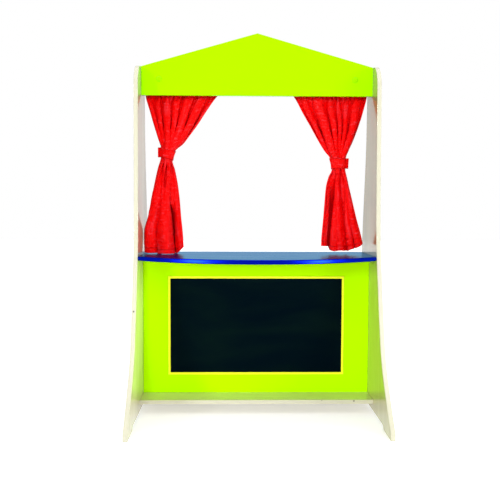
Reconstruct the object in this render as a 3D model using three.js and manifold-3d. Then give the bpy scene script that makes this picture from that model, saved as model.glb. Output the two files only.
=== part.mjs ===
// Puppet theatre stand for children. Two swept plywood side panels carry a gabled header board,
// a bow-fronted stage shelf, a front panel with a framed chalkboard and a low shelf. Two gathered
// curtains hang on a rod behind the header, each held in at the waist by a cloth tieback.
// Lengths are millimetres. X runs along the stage, Y from the audience to the puppeteer, Z up.
// The origin is on the floor, in the middle of the footprint.

import * as THREE from 'three';
import { mergeVertices } from 'three/addons/utils/BufferGeometryUtils.js';
import Module from 'manifold-3d';

const wasm = await Module();
wasm.setup();

// Boards
const boardThickness = 15;
const stageWidth = 820;
const boardEdgeRound = 1.5;
const overrun = 1;

// Side panels: the swept edges are shares of the depth and of the height, from top to floor
const standDepth = 620;
const sideHeight = 1223;
const sideTopRadius = 80;
const footLength = 118;
const footArchHeight = 13;
const toeHeight = 22;
const frontEdgeShares = [
  [-0.032, 0.9], [-0.038, 0.76], [-0.045, 0.6], [-0.0625, 0.482], [-0.105, 0.4], [-0.159, 0.3],
  [-0.237, 0.182], [-0.363, 0.094],
];
const rearEdgeShares = [
  [0.287, 0.9], [0.294, 0.82], [0.313, 0.735], [0.355, 0.624], [0.408, 0.471], [0.456, 0.31],
  [0.487, 0.16],
];

// Heights and setbacks of the boards between the side panels
const shelfTop = 560;
const shelfInset = 3;
const shelfBow = 171;
const shelfEdgeRound = 4;
const headerFrontY = 66;
const headerLap = 100;
const eaveHeight = 101;
const gableRise = 117;
const ledgeTop = 53;
const ledgeFrontY = -13;
const ledgeDepth = 109;
const lowShelfDepth = 240;

// Chalkboard and its mitred frame, both glued to the front panel
const chalkboardWidth = 622;
const chalkboardHeight = 343;
const chalkboardThickness = 3;
const chalkboardRaise = 75.3;
const stripWidth = 8.5;
const stripThickness = 5;
const stripRound = 2;

// Connector bolts, barrel nuts and dowels that join the boards to the side panels
const boltDiameter = 6;
const boltLength = 80;
const boltHeadDiameter = 17;
const boltHeadHeight = 2.3;
const boltHeadRound = 0.8;
const boltSocketWidth = 4;
const boltSocketDepth = 3;
const nutDiameter = 10;
const nutLength = 12;
const nutSetback = 63;
const nutHoleFloor = 1.2;
const fitGap = 0.5;
const dowelDiameter = 8;
const dowelLength = 30;
const dowelInSide = 8.5;
const dowelChamfer = 1;
const dowelEndGap = 0.5;

// Where the joints sit on their boards
const headerBoltRaise = 57;
const headerDowelRaise = 24;
const shelfBoltFromFront = 66;
const shelfBoltFromBack = 61;
const panelBoltInset = 77;
const lowShelfBoltInset = 50;
const panelDowelSpacing = 500;

// Domed caps over the header's nut holes
const capDiameter = 20;
const capDome = 3.4;
const capRim = 0.8;
const capStem = 1.1;

// Curtain rod, in blind holes of the side panels
const rodDiameter = 12;
const rodFromTop = 63;
const rodSetback = 45;
const rodHoleDepth = 8;
const rodEndGap = 0.5;
const rodSideGap = 0.4;

// Curtains: a pocket round the rod, then cloth that falls in folds to the stage shelf
const pocketGap = 0.5;
const pocketWall = 2.5;
const headingHeight = 9;
const headingThickness = 5;
const clothHalfDepth = 27;
const clothEdge = 1.6;
const hemClearance = 1;
const hemSag = 19;
const gatherDepth = 1.4;
const pocketOuterShare = 0.988;
const ridgeShare = 0.7;
const lobeStartShare = 0.25;

// Rows down a curtain, from below the pocket to the hem. The first four columns are the outer
// edge and the inner edge, each as its distance from the middle of the stage (a share of half the
// stage) and its drop below the rod (a share of the height over the shelf). The last three are
// shares of half the cloth's depth and of its roundness: its core, its folds and its round ends.
// The valleys between folds are shares of the way from the outer to the inner edge, with one
// beyond each edge: those of the narrow pleats above, then those of the wide lobes at the hem.
const leftPocketInnerShare = 0.302;
const leftRowShares = [
  [0.983, 0.05, 0.329, 0.05, 0.2, 0.22, 0.3],
  [0.937, 0.147, 0.454, 0.147, 0.16, 0.3, 0.5],
  [0.871, 0.29, 0.59, 0.29, 0.22, 0.26, 0.8],
  [0.844, 0.357, 0.727, 0.382, 0.48, 0.11, 1],
  [0.844, 0.42, 0.741, 0.439, 0.48, 0.11, 1],
  [0.899, 0.585, 0.703, 0.58, 0.3, 0.32, 0.8],
  [0.962, 0.78, 0.671, 0.767, 0.22, 0.55, 0.6],
  [0.996, 0.877, 0.659, 0.867, 0.19, 0.66, 0.5],
  [0.988, 0.994, 0.651, 0.96, 0.17, 0.74, 0.5],
];
const leftPleatValleyShares = [-0.03, 0.08, 0.2, 0.38, 0.52, 0.72, 0.93, 1.04];
const leftLobeValleyShares = [-0.04, 0.35, 0.78, 1.12];
const rightPocketInnerShare = 0.29;
const rightRowShares = [
  [0.98, 0.05, 0.332, 0.05, 0.2, 0.22, 0.3],
  [0.939, 0.147, 0.422, 0.147, 0.16, 0.3, 0.5],
  [0.866, 0.29, 0.551, 0.29, 0.22, 0.26, 0.8],
  [0.793, 0.413, 0.661, 0.417, 0.48, 0.11, 1],
  [0.788, 0.485, 0.671, 0.485, 0.48, 0.11, 1],
  [0.822, 0.587, 0.627, 0.583, 0.3, 0.3, 0.8],
  [0.871, 0.728, 0.607, 0.717, 0.22, 0.45, 0.6],
  [0.91, 0.825, 0.595, 0.825, 0.19, 0.55, 0.5],
  [0.953, 0.93, 0.582, 0.945, 0.17, 0.62, 0.5],
];
const rightPleatValleyShares = [-0.12, 0.04, 0.23, 0.34, 0.44, 0.59, 0.82, 1.02];
const rightLobeValleyShares = [-0.02, 0.2, 0.4, 0.62, 0.84, 1.08];
const waistRow = 3;
const pocketRows = 3;

// Tiebacks
const strapThickness = 2;
const strapGap = 0.6;
const strapInsetShare = 0.04;
const tabLength = 9;
const tabThickness = 4;

// Facets
const frontEdgeSegments = 28;
const rearEdgeSegments = 14;
const cornerSegments = 5;
const topCornerSegments = 10;
const bowSegments = 36;
const pegSides = 12;
const holeSides = 12;
const rodSides = 18;
const edgeRoundSegments = 2;
const bullnoseSegments = 3;
const columnsPerPleat = 4;
const columnGapShare = 0.012;
const rowsPerStep = 2;
const strapSides = 32;
const outlineSamples = 200;

// Places that follow from the sizes above
const halfStage = stageWidth / 2;
const halfDepth = standDepth / 2;
const shelfUnder = shelfTop - boardThickness;
const openingHeight = sideHeight - headerLap - shelfTop;
const headerBottom = shelfTop + openingHeight;
const panelFrontY = ledgeFrontY + ledgeDepth;
const panelHeight = shelfUnder - ledgeTop;
const rodY = headerFrontY + boardThickness + rodSetback;
const rodHeight = sideHeight - rodFromTop;
const rodDrop = rodHeight - shelfTop;
const middle = boardThickness / 2;

const birch = { color: '#e9e2c8', roughness: 0.4, metalness: 0 };
const limeLacquer = { color: '#befb02', roughness: 0.35, metalness: 0 };
const blueLacquer = { color: '#0a1fb4', roughness: 0.2, metalness: 0 };
const slate = { color: '#08110f', roughness: 0.55, metalness: 0 };
const yellowPaint = { color: '#effe2f', roughness: 0.4, metalness: 0 };
const redCotton = { color: '#e0150c', roughness: 0.9, metalness: 0 };
const zinc = { color: '#b9bcc0', roughness: 0.35, metalness: 1 };
const beech = { color: '#d9b98a', roughness: 0.6, metalness: 0 };

const theatre = new THREE.Group();
theatre.name = 'puppet_theatre';

function place(name, finish, geometry, x, y, z) {
  const mesh = new THREE.Mesh(geometry, new THREE.MeshStandardMaterial(finish));
  mesh.name = name;
  mesh.position.set(x, y, z);
  theatre.add(mesh);
  return mesh;
}

// Solids for cutting and joining, and back to geometry
function solidOf(geometry) {
  const bare = new THREE.BufferGeometry();
  bare.setAttribute('position', geometry.getAttribute('position'));
  bare.setIndex(geometry.index);
  const merged = mergeVertices(bare);
  return new wasm.Manifold(new wasm.Mesh({
    numProp: 3,
    vertProperties: merged.getAttribute('position').array,
    triVerts: Uint32Array.from(merged.index.array),
  }));
}

function geometryOf(solid) {
  const { vertProperties, triVerts } = solid.getMesh();
  const geometry = new THREE.BufferGeometry();
  geometry.setAttribute('position', new THREE.BufferAttribute(vertProperties, 3));
  geometry.setIndex(new THREE.BufferAttribute(triVerts, 1));
  return geometry;
}

function cut(geometry, tools) {
  return geometryOf(tools.reduce((body, tool) => body.subtract(solidOf(tool)), solidOf(geometry)));
}

// Quarter turns that send a shape's own X, Y and Z along other axes
const axisX = new THREE.Vector3(1, 0, 0);
const axisY = new THREE.Vector3(0, 1, 0);
const axisZ = new THREE.Vector3(0, 0, 1);
const alongX = new THREE.Matrix4().makeBasis(axisY, axisZ, axisX);
const alongY = new THREE.Matrix4().makeBasis(axisZ, axisX, axisY);
const alongZ = new THREE.Matrix4();
const facingAudience = new THREE.Matrix4().makeBasis(axisX, axisZ, axisY.clone().negate());

// A board cut to an outline, its rounded edges inside the outline, standing on its own Z = 0 face
function boardFrom(outline, thickness, edgeRound, segments) {
  const board = new THREE.ExtrudeGeometry(outline, {
    depth: thickness - 2 * edgeRound,
    bevelThickness: edgeRound,
    bevelSize: edgeRound,
    bevelOffset: -edgeRound,
    bevelSegments: segments,
    curveSegments: cornerSegments,
  });
  return board.translate(0, 0, edgeRound);
}

function rectangle(left, right, low, high) {
  return new THREE.Shape([
    new THREE.Vector2(left, low), new THREE.Vector2(right, low),
    new THREE.Vector2(right, high), new THREE.Vector2(left, high),
  ]);
}

// A round peg or hole from one place to another along an axis
function roundBar(diameter, sides, from, to, turn, x, y, z) {
  const bar = new THREE.CylinderGeometry(diameter / 2, diameter / 2, to - from, sides);
  bar.rotateX(Math.PI / 2).translate(0, 0, (from + to) / 2);
  return bar.applyMatrix4(turn).translate(x, y, z);
}

// The side panel's swept edges, as curves in depth and height
function sweptEdge(shares, towards) {
  const points = shares.map(([depth, height]) => new THREE.Vector3(
    depth * standDepth, height * sideHeight, 0));
  points.unshift(new THREE.Vector3(points[0].x, sideHeight - sideTopRadius, 0));
  points.push(new THREE.Vector3(towards * halfDepth, toeHeight, 0));
  return new THREE.CatmullRomCurve3(points);
}

function edgeAt(curve, height) {
  const points = curve.getPoints(outlineSamples);
  const below = points.findIndex((point) => point.y <= height);
  const [upper, lower] = [points[below - 1], points[below]];
  return THREE.MathUtils.mapLinear(height, upper.y, lower.y, upper.x, lower.x);
}

function arc(centreX, centreY, radius, start, end, segments) {
  const curve = new THREE.EllipseCurve(centreX, centreY, radius, radius, start, end, start > end);
  return curve.getPoints(segments);
}

const frontEdge = sweptEdge(frontEdgeShares, -1);
const rearEdge = sweptEdge(rearEdgeShares, 1);

function sideOutline() {
  const flat = (curve, segments) => curve.getPoints(segments)
    .map(({ x, y }) => new THREE.Vector2(x, y));
  const archEnd = halfDepth - footLength;
  const quarter = Math.PI / 2;
  const topFront = frontEdge.points[0];
  const topRear = rearEdge.points[0];
  return new THREE.Shape([
    new THREE.Vector2(-halfDepth, 0),
    ...arc(-archEnd, 0, footArchHeight, 2 * quarter, quarter, cornerSegments)
      .map((point) => point.setX(point.x + footArchHeight)),
    ...arc(archEnd, 0, footArchHeight, quarter, 0, cornerSegments)
      .map((point) => point.setX(point.x - footArchHeight)),
    new THREE.Vector2(halfDepth, 0),
    ...flat(rearEdge, rearEdgeSegments).reverse(),
    ...arc(topRear.x - sideTopRadius, topRear.y, sideTopRadius, 0, quarter,
      topCornerSegments).slice(1),
    ...arc(topFront.x + sideTopRadius, topFront.y, sideTopRadius, quarter, 2 * quarter,
      topCornerSegments).slice(0, -1),
    ...flat(frontEdge, frontEdgeSegments),
  ]);
}

// Bolt and dowel places on the boards that meet the side panels, as depth and height
const shelfFrontY = edgeAt(frontEdge, shelfUnder) + shelfInset;
const shelfBackY = edgeAt(rearEdge, shelfTop) - shelfInset;
const shelfMiddleZ = shelfTop - middle;
const lowShelfMiddleZ = ledgeTop - middle;
const headerMiddleY = headerFrontY + middle;
const panelMiddleY = panelFrontY + middle;
const bolts = [
  ['header', headerMiddleY, headerBottom + headerBoltRaise],
  ['shelf_front', shelfFrontY + shelfBoltFromFront, shelfMiddleZ],
  ['shelf_rear', shelfBackY - shelfBoltFromBack, shelfMiddleZ],
  ['panel_upper', panelMiddleY, shelfUnder - panelBoltInset],
  ['panel_lower', panelMiddleY, ledgeTop + panelBoltInset],
  ['low_shelf_front', ledgeFrontY + lowShelfBoltInset, lowShelfMiddleZ],
  ['low_shelf_rear', ledgeFrontY + lowShelfDepth - lowShelfBoltInset, lowShelfMiddleZ],
];
const sideDowels = [
  ['header', headerMiddleY, headerBottom + headerDowelRaise],
  ['shelf', panelMiddleY, shelfMiddleZ],
];
const panelDowels = [['left', -panelDowelSpacing / 2], ['right', panelDowelSpacing / 2]];
const boltHole = boltDiameter + 2 * fitGap;
const nutHole = nutDiameter + 2 * fitGap;
const dowelHole = dowelDiameter + 2 * fitGap;
const boltReach = boltLength - boardThickness + dowelEndGap;
const dowelReach = dowelLength - dowelInSide + dowelEndGap;

// Side panels, drilled through for the bolts and blind from inside for the dowels and the rod
function sidePanel(inner) {
  const panel = boardFrom(sideOutline(), boardThickness, boardEdgeRound, edgeRoundSegments);
  const blind = (diameter, depth, y, z) => {
    const [from, to] = inner > 0
      ? [boardThickness - depth, boardThickness + overrun] : [-overrun, depth];
    return roundBar(diameter, holeSides, from, to, alongX, 0, y, z);
  };
  return cut(panel.applyMatrix4(alongX), [
    ...bolts.map(([, y, z]) => roundBar(
      boltHole, holeSides, -overrun, boardThickness + overrun, alongX, 0, y, z)),
    ...sideDowels.map(([, y, z]) => blind(dowelHole, dowelInSide + dowelEndGap, y, z)),
    blind(rodDiameter + 2 * rodSideGap, rodHoleDepth, rodY, rodHeight),
  ]);
}

place('side_panel_left', birch, sidePanel(1), -halfStage - boardThickness, 0, 0);
place('side_panel_right', birch, sidePanel(-1), halfStage, 0, 0);

// The holes in both ends of a board for one bolt or dowel, and the cross hole for its barrel nut
function endHoles(diameter, reach, y, z) {
  return [-1, 1].map((side) => {
    const [from, to] = side > 0
      ? [halfStage - reach, halfStage + overrun] : [-halfStage - overrun, reach - halfStage];
    return roundBar(diameter, holeSides, from, to, alongX, 0, y, z);
  });
}

// A barrel nut's hole opens on one face of its board: `open` is that face, `deep` the other
function nutHoles(open, deep, turn, y, z) {
  const inward = Math.sign(deep - open);
  const ends = [open - inward * overrun, deep - inward * nutHoleFloor].sort((a, b) => a - b);
  return [-1, 1].map((side) => roundBar(
    nutHole, holeSides, ...ends, turn, side * (halfStage - nutSetback), y, z));
}

function boltHolesFor(prefix, open, deep, turn) {
  return bolts.filter(([name]) => name.startsWith(prefix)).flatMap(([, y, z]) => [
    ...endHoles(boltHole, boltReach, y, z),
    ...nutHoles(open, deep, turn, turn === alongY ? 0 : y, turn === alongY ? z : 0),
  ]);
}

function dowelHolesFor(prefix) {
  return sideDowels.filter(([name]) => name === prefix)
    .flatMap(([, y, z]) => endHoles(dowelHole, dowelReach, y, z));
}

// Header: a gable between the side panels, its nut holes open towards the audience
function headerBoard() {
  const gable = new THREE.Shape([
    new THREE.Vector2(-halfStage, 0), new THREE.Vector2(halfStage, 0),
    new THREE.Vector2(halfStage, eaveHeight), new THREE.Vector2(0, eaveHeight + gableRise),
    new THREE.Vector2(-halfStage, eaveHeight),
  ]);
  const board = boardFrom(gable, boardThickness, boardEdgeRound, edgeRoundSegments);
  board.applyMatrix4(facingAudience);
  board.translate(0, headerFrontY + boardThickness, headerBottom);
  return cut(board, [
    ...boltHolesFor('header', headerFrontY, headerFrontY + boardThickness, alongY),
    ...dowelHolesFor('header'),
  ]);
}

place('header_board', limeLacquer, headerBoard(), 0, 0, 0);

// Stage shelf: its bowed front edge meets the side panels at their front edges
function stageShelf() {
  const radius = (halfStage ** 2 + shelfBow ** 2) / (2 * shelfBow);
  const centreY = shelfFrontY - shelfBow + radius;
  const half = Math.asin(halfStage / radius);
  const outline = new THREE.Shape([
    new THREE.Vector2(halfStage, shelfBackY), new THREE.Vector2(-halfStage, shelfBackY),
    ...arc(0, centreY, radius, -Math.PI / 2 - half, -Math.PI / 2 + half, bowSegments),
  ]);
  const board = boardFrom(outline, boardThickness, shelfEdgeRound, bullnoseSegments);
  board.translate(0, 0, shelfUnder);
  return cut(board, [
    ...boltHolesFor('shelf', shelfUnder, shelfTop, alongZ),
    ...dowelHolesFor('shelf'),
    ...panelDowels.map(([, x]) => roundBar(dowelHole, holeSides, shelfUnder - overrun,
      shelfUnder + dowelInSide + dowelEndGap, alongZ, x, panelMiddleY, 0)),
  ]);
}

place('stage_shelf', blueLacquer, stageShelf(), 0, 0, 0);

// Front panel: stands on the low shelf and carries the stage shelf
function frontPanel() {
  const outline = rectangle(-halfStage, halfStage, 0, panelHeight);
  const board = boardFrom(outline, boardThickness, boardEdgeRound, edgeRoundSegments);
  board.applyMatrix4(facingAudience).translate(0, panelFrontY + boardThickness, ledgeTop);
  return cut(board, [
    ...boltHolesFor('panel', panelFrontY + boardThickness, panelFrontY, alongY),
    ...panelDowels.flatMap(([, x]) => [
      roundBar(dowelHole, holeSides, ledgeTop - overrun, ledgeTop + dowelReach, alongZ,
        x, panelMiddleY, 0),
      roundBar(dowelHole, holeSides, shelfUnder - dowelReach, shelfUnder + overrun, alongZ,
        x, panelMiddleY, 0),
    ]),
  ]);
}

place('front_panel', limeLacquer, frontPanel(), 0, 0, 0);

// Low shelf: a ledge in front of the panel and a tray for the puppets behind it
function lowShelf() {
  const outline = rectangle(-halfStage, halfStage, ledgeFrontY, ledgeFrontY + lowShelfDepth);
  const board = boardFrom(outline, boardThickness, boardEdgeRound, edgeRoundSegments);
  board.translate(0, 0, ledgeTop - boardThickness);
  return cut(board, [
    ...boltHolesFor('low_shelf', ledgeTop - boardThickness, ledgeTop, alongZ),
    ...panelDowels.map(([, x]) => roundBar(dowelHole, holeSides,
      ledgeTop - dowelInSide - dowelEndGap, ledgeTop + overrun, alongZ, x, panelMiddleY, 0)),
  ]);
}

place('low_shelf', birch, lowShelf(), 0, 0, 0);

// Chalkboard and frame strips, mitred at the corners and rounded on the front
const chalkboardMiddleZ = ledgeTop + chalkboardRaise + chalkboardHeight / 2;
const chalkboard = new THREE.BoxGeometry(chalkboardWidth, chalkboardThickness, chalkboardHeight);
place('chalkboard', slate, chalkboard, 0, panelFrontY - chalkboardThickness / 2, chalkboardMiddleZ);

// A strip's own frame: X along it, Z from its inner edge outwards, its back face on Y = 0
function frameStrip(innerLength) {
  const half = innerLength / 2;
  const section = new THREE.Shape([
    new THREE.Vector2(0, 0), new THREE.Vector2(0, stripWidth),
    ...arc(-stripThickness + stripRound, stripWidth - stripRound, stripRound,
      Math.PI / 2, Math.PI, cornerSegments),
    ...arc(-stripThickness + stripRound, stripRound, stripRound,
      Math.PI, 1.5 * Math.PI, cornerSegments),
  ]);
  const moulding = new THREE.ExtrudeGeometry(section, {
    depth: innerLength + 2 * stripWidth, bevelEnabled: false,
  });
  moulding.applyMatrix4(alongX).translate(-half - stripWidth, 0, 0);
  const mitre = new THREE.ExtrudeGeometry(new THREE.Shape([
    new THREE.Vector2(-half, 0), new THREE.Vector2(half, 0),
    new THREE.Vector2(half + stripWidth, stripWidth),
    new THREE.Vector2(-half - stripWidth, stripWidth),
  ]), { depth: stripThickness, bevelEnabled: false });
  mitre.applyMatrix4(facingAudience);
  return geometryOf(solidOf(moulding).intersect(solidOf(mitre)));
}

const turnRight = new THREE.Matrix4().makeBasis(axisZ.clone().negate(), axisY, axisX);
const turnLeft = new THREE.Matrix4().makeBasis(axisZ, axisY, axisX.clone().negate());
const turnDown = new THREE.Matrix4().makeBasis(
  axisX.clone().negate(), axisY, axisZ.clone().negate());
const strips = [
  ['top', chalkboardWidth, new THREE.Matrix4(), 0, chalkboardHeight / 2],
  ['bottom', chalkboardWidth, turnDown, 0, -chalkboardHeight / 2],
  ['left', chalkboardHeight, turnLeft, -chalkboardWidth / 2, 0],
  ['right', chalkboardHeight, turnRight, chalkboardWidth / 2, 0],
];
for (const [side, innerLength, turn, x, z] of strips) {
  const strip = frameStrip(innerLength).applyMatrix4(turn);
  place(`frame_strip_${side}`, yellowPaint, strip, x, panelFrontY, chalkboardMiddleZ + z);
}

// Connector bolt: its flat head sits on the outside of the side panel, its tip points inwards
function connectorBolt(inward) {
  const radius = boltDiameter / 2;
  const headRadius = boltHeadDiameter / 2;
  const outline = [
    new THREE.Vector2(0, boltLength), new THREE.Vector2(radius - boltHeadRound, boltLength),
    new THREE.Vector2(radius, boltLength - boltHeadRound), new THREE.Vector2(radius, 0),
    new THREE.Vector2(headRadius, 0),
    new THREE.Vector2(headRadius, -boltHeadHeight + boltHeadRound),
    new THREE.Vector2(headRadius - boltHeadRound, -boltHeadHeight),
    new THREE.Vector2(0, -boltHeadHeight),
  ].reverse();
  const bolt = new THREE.LatheGeometry(outline, pegSides);
  const socket = new THREE.CylinderGeometry(
    boltSocketWidth / Math.sqrt(3), boltSocketWidth / Math.sqrt(3), boltSocketDepth + overrun, 6);
  socket.translate(0, (boltSocketDepth - overrun) / 2 - boltHeadHeight, 0);
  return cut(bolt, [socket]).rotateZ(-inward * Math.PI / 2);
}

// Barrel nut: a short round bar, cross drilled for the bolt, round ends up along its own Z
function barrelNut(turn) {
  const barrel = roundBar(nutDiameter, pegSides, -nutLength / 2, nutLength / 2, turn, 0, 0, 0);
  return cut(barrel, [roundBar(
    boltHole, holeSides, -nutDiameter, nutDiameter, alongX, 0, 0, 0)]);
}

const sides = [['left', -1], ['right', 1]];
for (const [joint, y, z] of bolts) {
  const upright = joint.startsWith('header') || joint.startsWith('panel');
  for (const [side, out] of sides) {
    place(`bolt_${joint}_${side}`, zinc, connectorBolt(-out), out * (halfStage + boardThickness),
      y, z);
    place(`barrel_nut_${joint}_${side}`, zinc, barrelNut(upright ? alongY : alongZ),
      out * (halfStage - nutSetback), y, z);
  }
}

// Dowels with chamfered ends
function dowel(turn) {
  const radius = dowelDiameter / 2;
  const half = dowelLength / 2;
  const peg = new THREE.LatheGeometry([
    new THREE.Vector2(0, -half), new THREE.Vector2(radius - dowelChamfer, -half),
    new THREE.Vector2(radius, -half + dowelChamfer), new THREE.Vector2(radius, half - dowelChamfer),
    new THREE.Vector2(radius - dowelChamfer, half), new THREE.Vector2(0, half),
  ], pegSides);
  return peg.rotateX(Math.PI / 2).applyMatrix4(turn);
}

for (const [board, y, z] of sideDowels) {
  for (const [side, out] of sides) {
    place(`dowel_${board}_${side}`, beech, dowel(alongX),
      out * (halfStage + dowelInSide - dowelLength / 2), y, z);
  }
}
for (const [side, x] of panelDowels) {
  place(`dowel_panel_top_${side}`, beech, dowel(alongZ), x, panelMiddleY,
    shelfUnder + dowelInSide - dowelLength / 2);
  place(`dowel_panel_foot_${side}`, beech, dowel(alongZ), x, panelMiddleY,
    ledgeTop - dowelInSide + dowelLength / 2);
}

// Header caps: shallow domes with a stem in the nut hole
function headerCap() {
  const radius = capDiameter / 2;
  const domeRadius = (radius ** 2 + capDome ** 2) / (2 * capDome);
  const halfAngle = Math.asin(radius / domeRadius);
  const dome = arc(0, capRim + capDome - domeRadius, domeRadius, Math.PI / 2 - halfAngle,
    Math.PI / 2, cornerSegments);
  const stemRadius = nutDiameter / 2;
  const cap = new THREE.LatheGeometry([
    new THREE.Vector2(0, -capStem), new THREE.Vector2(stemRadius, -capStem),
    new THREE.Vector2(stemRadius, 0), new THREE.Vector2(radius, 0), ...dome,
  ], holeSides);
  return cap.rotateX(Math.PI);
}

for (const [side, out] of sides) {
  place(`header_cap_${side}`, limeLacquer, headerCap(), out * (halfStage - nutSetback),
    headerFrontY, headerBottom + headerBoltRaise);
}

// Curtain rod
const rodReach = halfStage + rodHoleDepth - rodEndGap;
const rod = roundBar(rodDiameter, rodSides, -rodReach, rodReach, alongX, 0, 0, 0);
place('curtain_rod', beech, rod, 0, rodY, rodHeight);

// Rows of a curtain from the heading down: its two edges and its depth at each
function curtainRows(rowShares, pocketInnerShare, out) {
  const pocketHalf = rodDiameter / 2 + pocketGap + pocketWall;
  const atPocket = (height, core) => ({
    outer: new THREE.Vector2(out * pocketOuterShare * halfStage, rodHeight + height),
    inner: new THREE.Vector2(out * pocketInnerShare * halfStage, rodHeight + height),
    core, fold: 0, round: 0, down: 0, gather: gatherDepth,
  });
  const edge = (first) => new THREE.CatmullRomCurve3(rowShares.map((row) => new THREE.Vector3(
    out * row[first] * halfStage, rodHeight - row[first + 1] * rodDrop, 0)));
  const outer = edge(0);
  const inner = edge(2);
  const form = new THREE.CatmullRomCurve3(rowShares.map((row) => new THREE.Vector3(
    row[4], row[5], row[6])), false, 'catmullrom');
  const steps = (rowShares.length - 1) * rowsPerStep;
  const draped = Array.from({ length: steps + 1 }, (_, step) => {
    const down = step / steps;
    const { x: core, y: fold, z: round } = form.getPoint(down);
    return {
      outer: outer.getPoint(down), inner: inner.getPoint(down),
      core: core * clothHalfDepth, fold: fold * clothHalfDepth, round, down, gather: 0,
    };
  });
  return [
    atPocket(pocketHalf + headingHeight, headingThickness / 2),
    atPocket(pocketHalf, pocketHalf), atPocket(-pocketHalf, pocketHalf), ...draped,
  ];
}

// A fold wave from -1 in its narrow valleys to 1 on its broad ridges
function foldWave(valleyShares, across) {
  const next = valleyShares.findIndex((share) => share > across);
  const [before, after] = [valleyShares[next - 1], valleyShares[next]];
  const along = THREE.MathUtils.mapLinear(across, before, after, 0, Math.PI);
  return 2 * Math.sin(along) ** ridgeShare - 1;
}

// How far the cloth swings to the front or the back: narrow pleats above, wide lobes at the hem
function swing(across, down, { pleatShares, lobeShares }) {
  return THREE.MathUtils.lerp(foldWave(pleatShares, across), foldWave(lobeShares, across),
    THREE.MathUtils.smoothstep(down, lobeStartShare, 1));
}

// Columns of the cloth, some to each pleat, so that its facets follow the valleys and the ridges
function clothColumns({ pleatShares }) {
  const inside = pleatShares.slice(0, -1).flatMap((valley, pleat) => Array.from(
    { length: columnsPerPleat },
    (_, part) => THREE.MathUtils.lerp(valley, pleatShares[pleat + 1], part / columnsPerPleat),
  )).filter((share) => share > columnGapShare && share < 1 - columnGapShare);
  return [0, ...inside, 1];
}

// Cloth of a front and a back face, each of rows by columns, stitched together round the rim
function curtainSolid(rows, folds, out) {
  const columns = clothColumns(folds);
  const width = columns.length;
  const positions = [];
  for (const face of [-1, 1]) {
    rows.forEach(({ outer, inner, core, fold, round, down, gather }, index) => {
      columns.forEach((across, column) => {
        const oval = Math.sqrt(1 - (2 * across - 1) ** 2);
        const taper = THREE.MathUtils.lerp(1, oval, round);
        const gathered = column % 2 === (face < 0 ? 1 : 0) ? gather : 0;
        const depth = Math.max(core * taper, clothEdge) + gathered;
        const sway = fold * taper * swing(across, down, folds);
        const sag = index === rows.length - 1 ? hemSag * Math.sin(Math.PI * across) : 0;
        const height = THREE.MathUtils.lerp(outer.y, inner.y, across) - sag;
        positions.push(
          THREE.MathUtils.lerp(outer.x, inner.x, across),
          rodY - sway + face * depth,
          Math.max(height, shelfTop + hemClearance),
        );
      });
    });
  }
  const back = rows.length * width;
  const at = (row, column) => row * width + column;
  const faces = [];
  const quad = (a, b, c, d) => faces.push(a, b, c, a, c, d);
  for (let row = 0; row + 1 < rows.length; row += 1) {
    for (let column = 0; column < width - 1; column += 1) {
      const [a, b] = [at(row, column), at(row, column + 1)];
      const [c, d] = [at(row + 1, column + 1), at(row + 1, column)];
      quad(a, d, c, b);
      quad(back + a, back + b, back + c, back + d);
    }
    for (const [column, flip] of [[0, false], [width - 1, true]]) {
      const rim = [at(row, column), back + at(row, column), back + at(row + 1, column),
        at(row + 1, column)];
      quad(...(flip ? rim.reverse() : rim));
    }
  }
  for (let column = 0; column < width - 1; column += 1) {
    for (const [row, flip] of [[0, false], [rows.length - 1, true]]) {
      const rim = [at(row, column), at(row, column + 1), back + at(row, column + 1),
        back + at(row, column)];
      quad(...(flip ? rim.reverse() : rim));
    }
  }
  if (out > 0) faces.reverse();
  const cloth = new THREE.BufferGeometry();
  cloth.setAttribute('position', new THREE.Float32BufferAttribute(positions, 3));
  cloth.setIndex(faces);
  return cloth;
}

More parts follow.
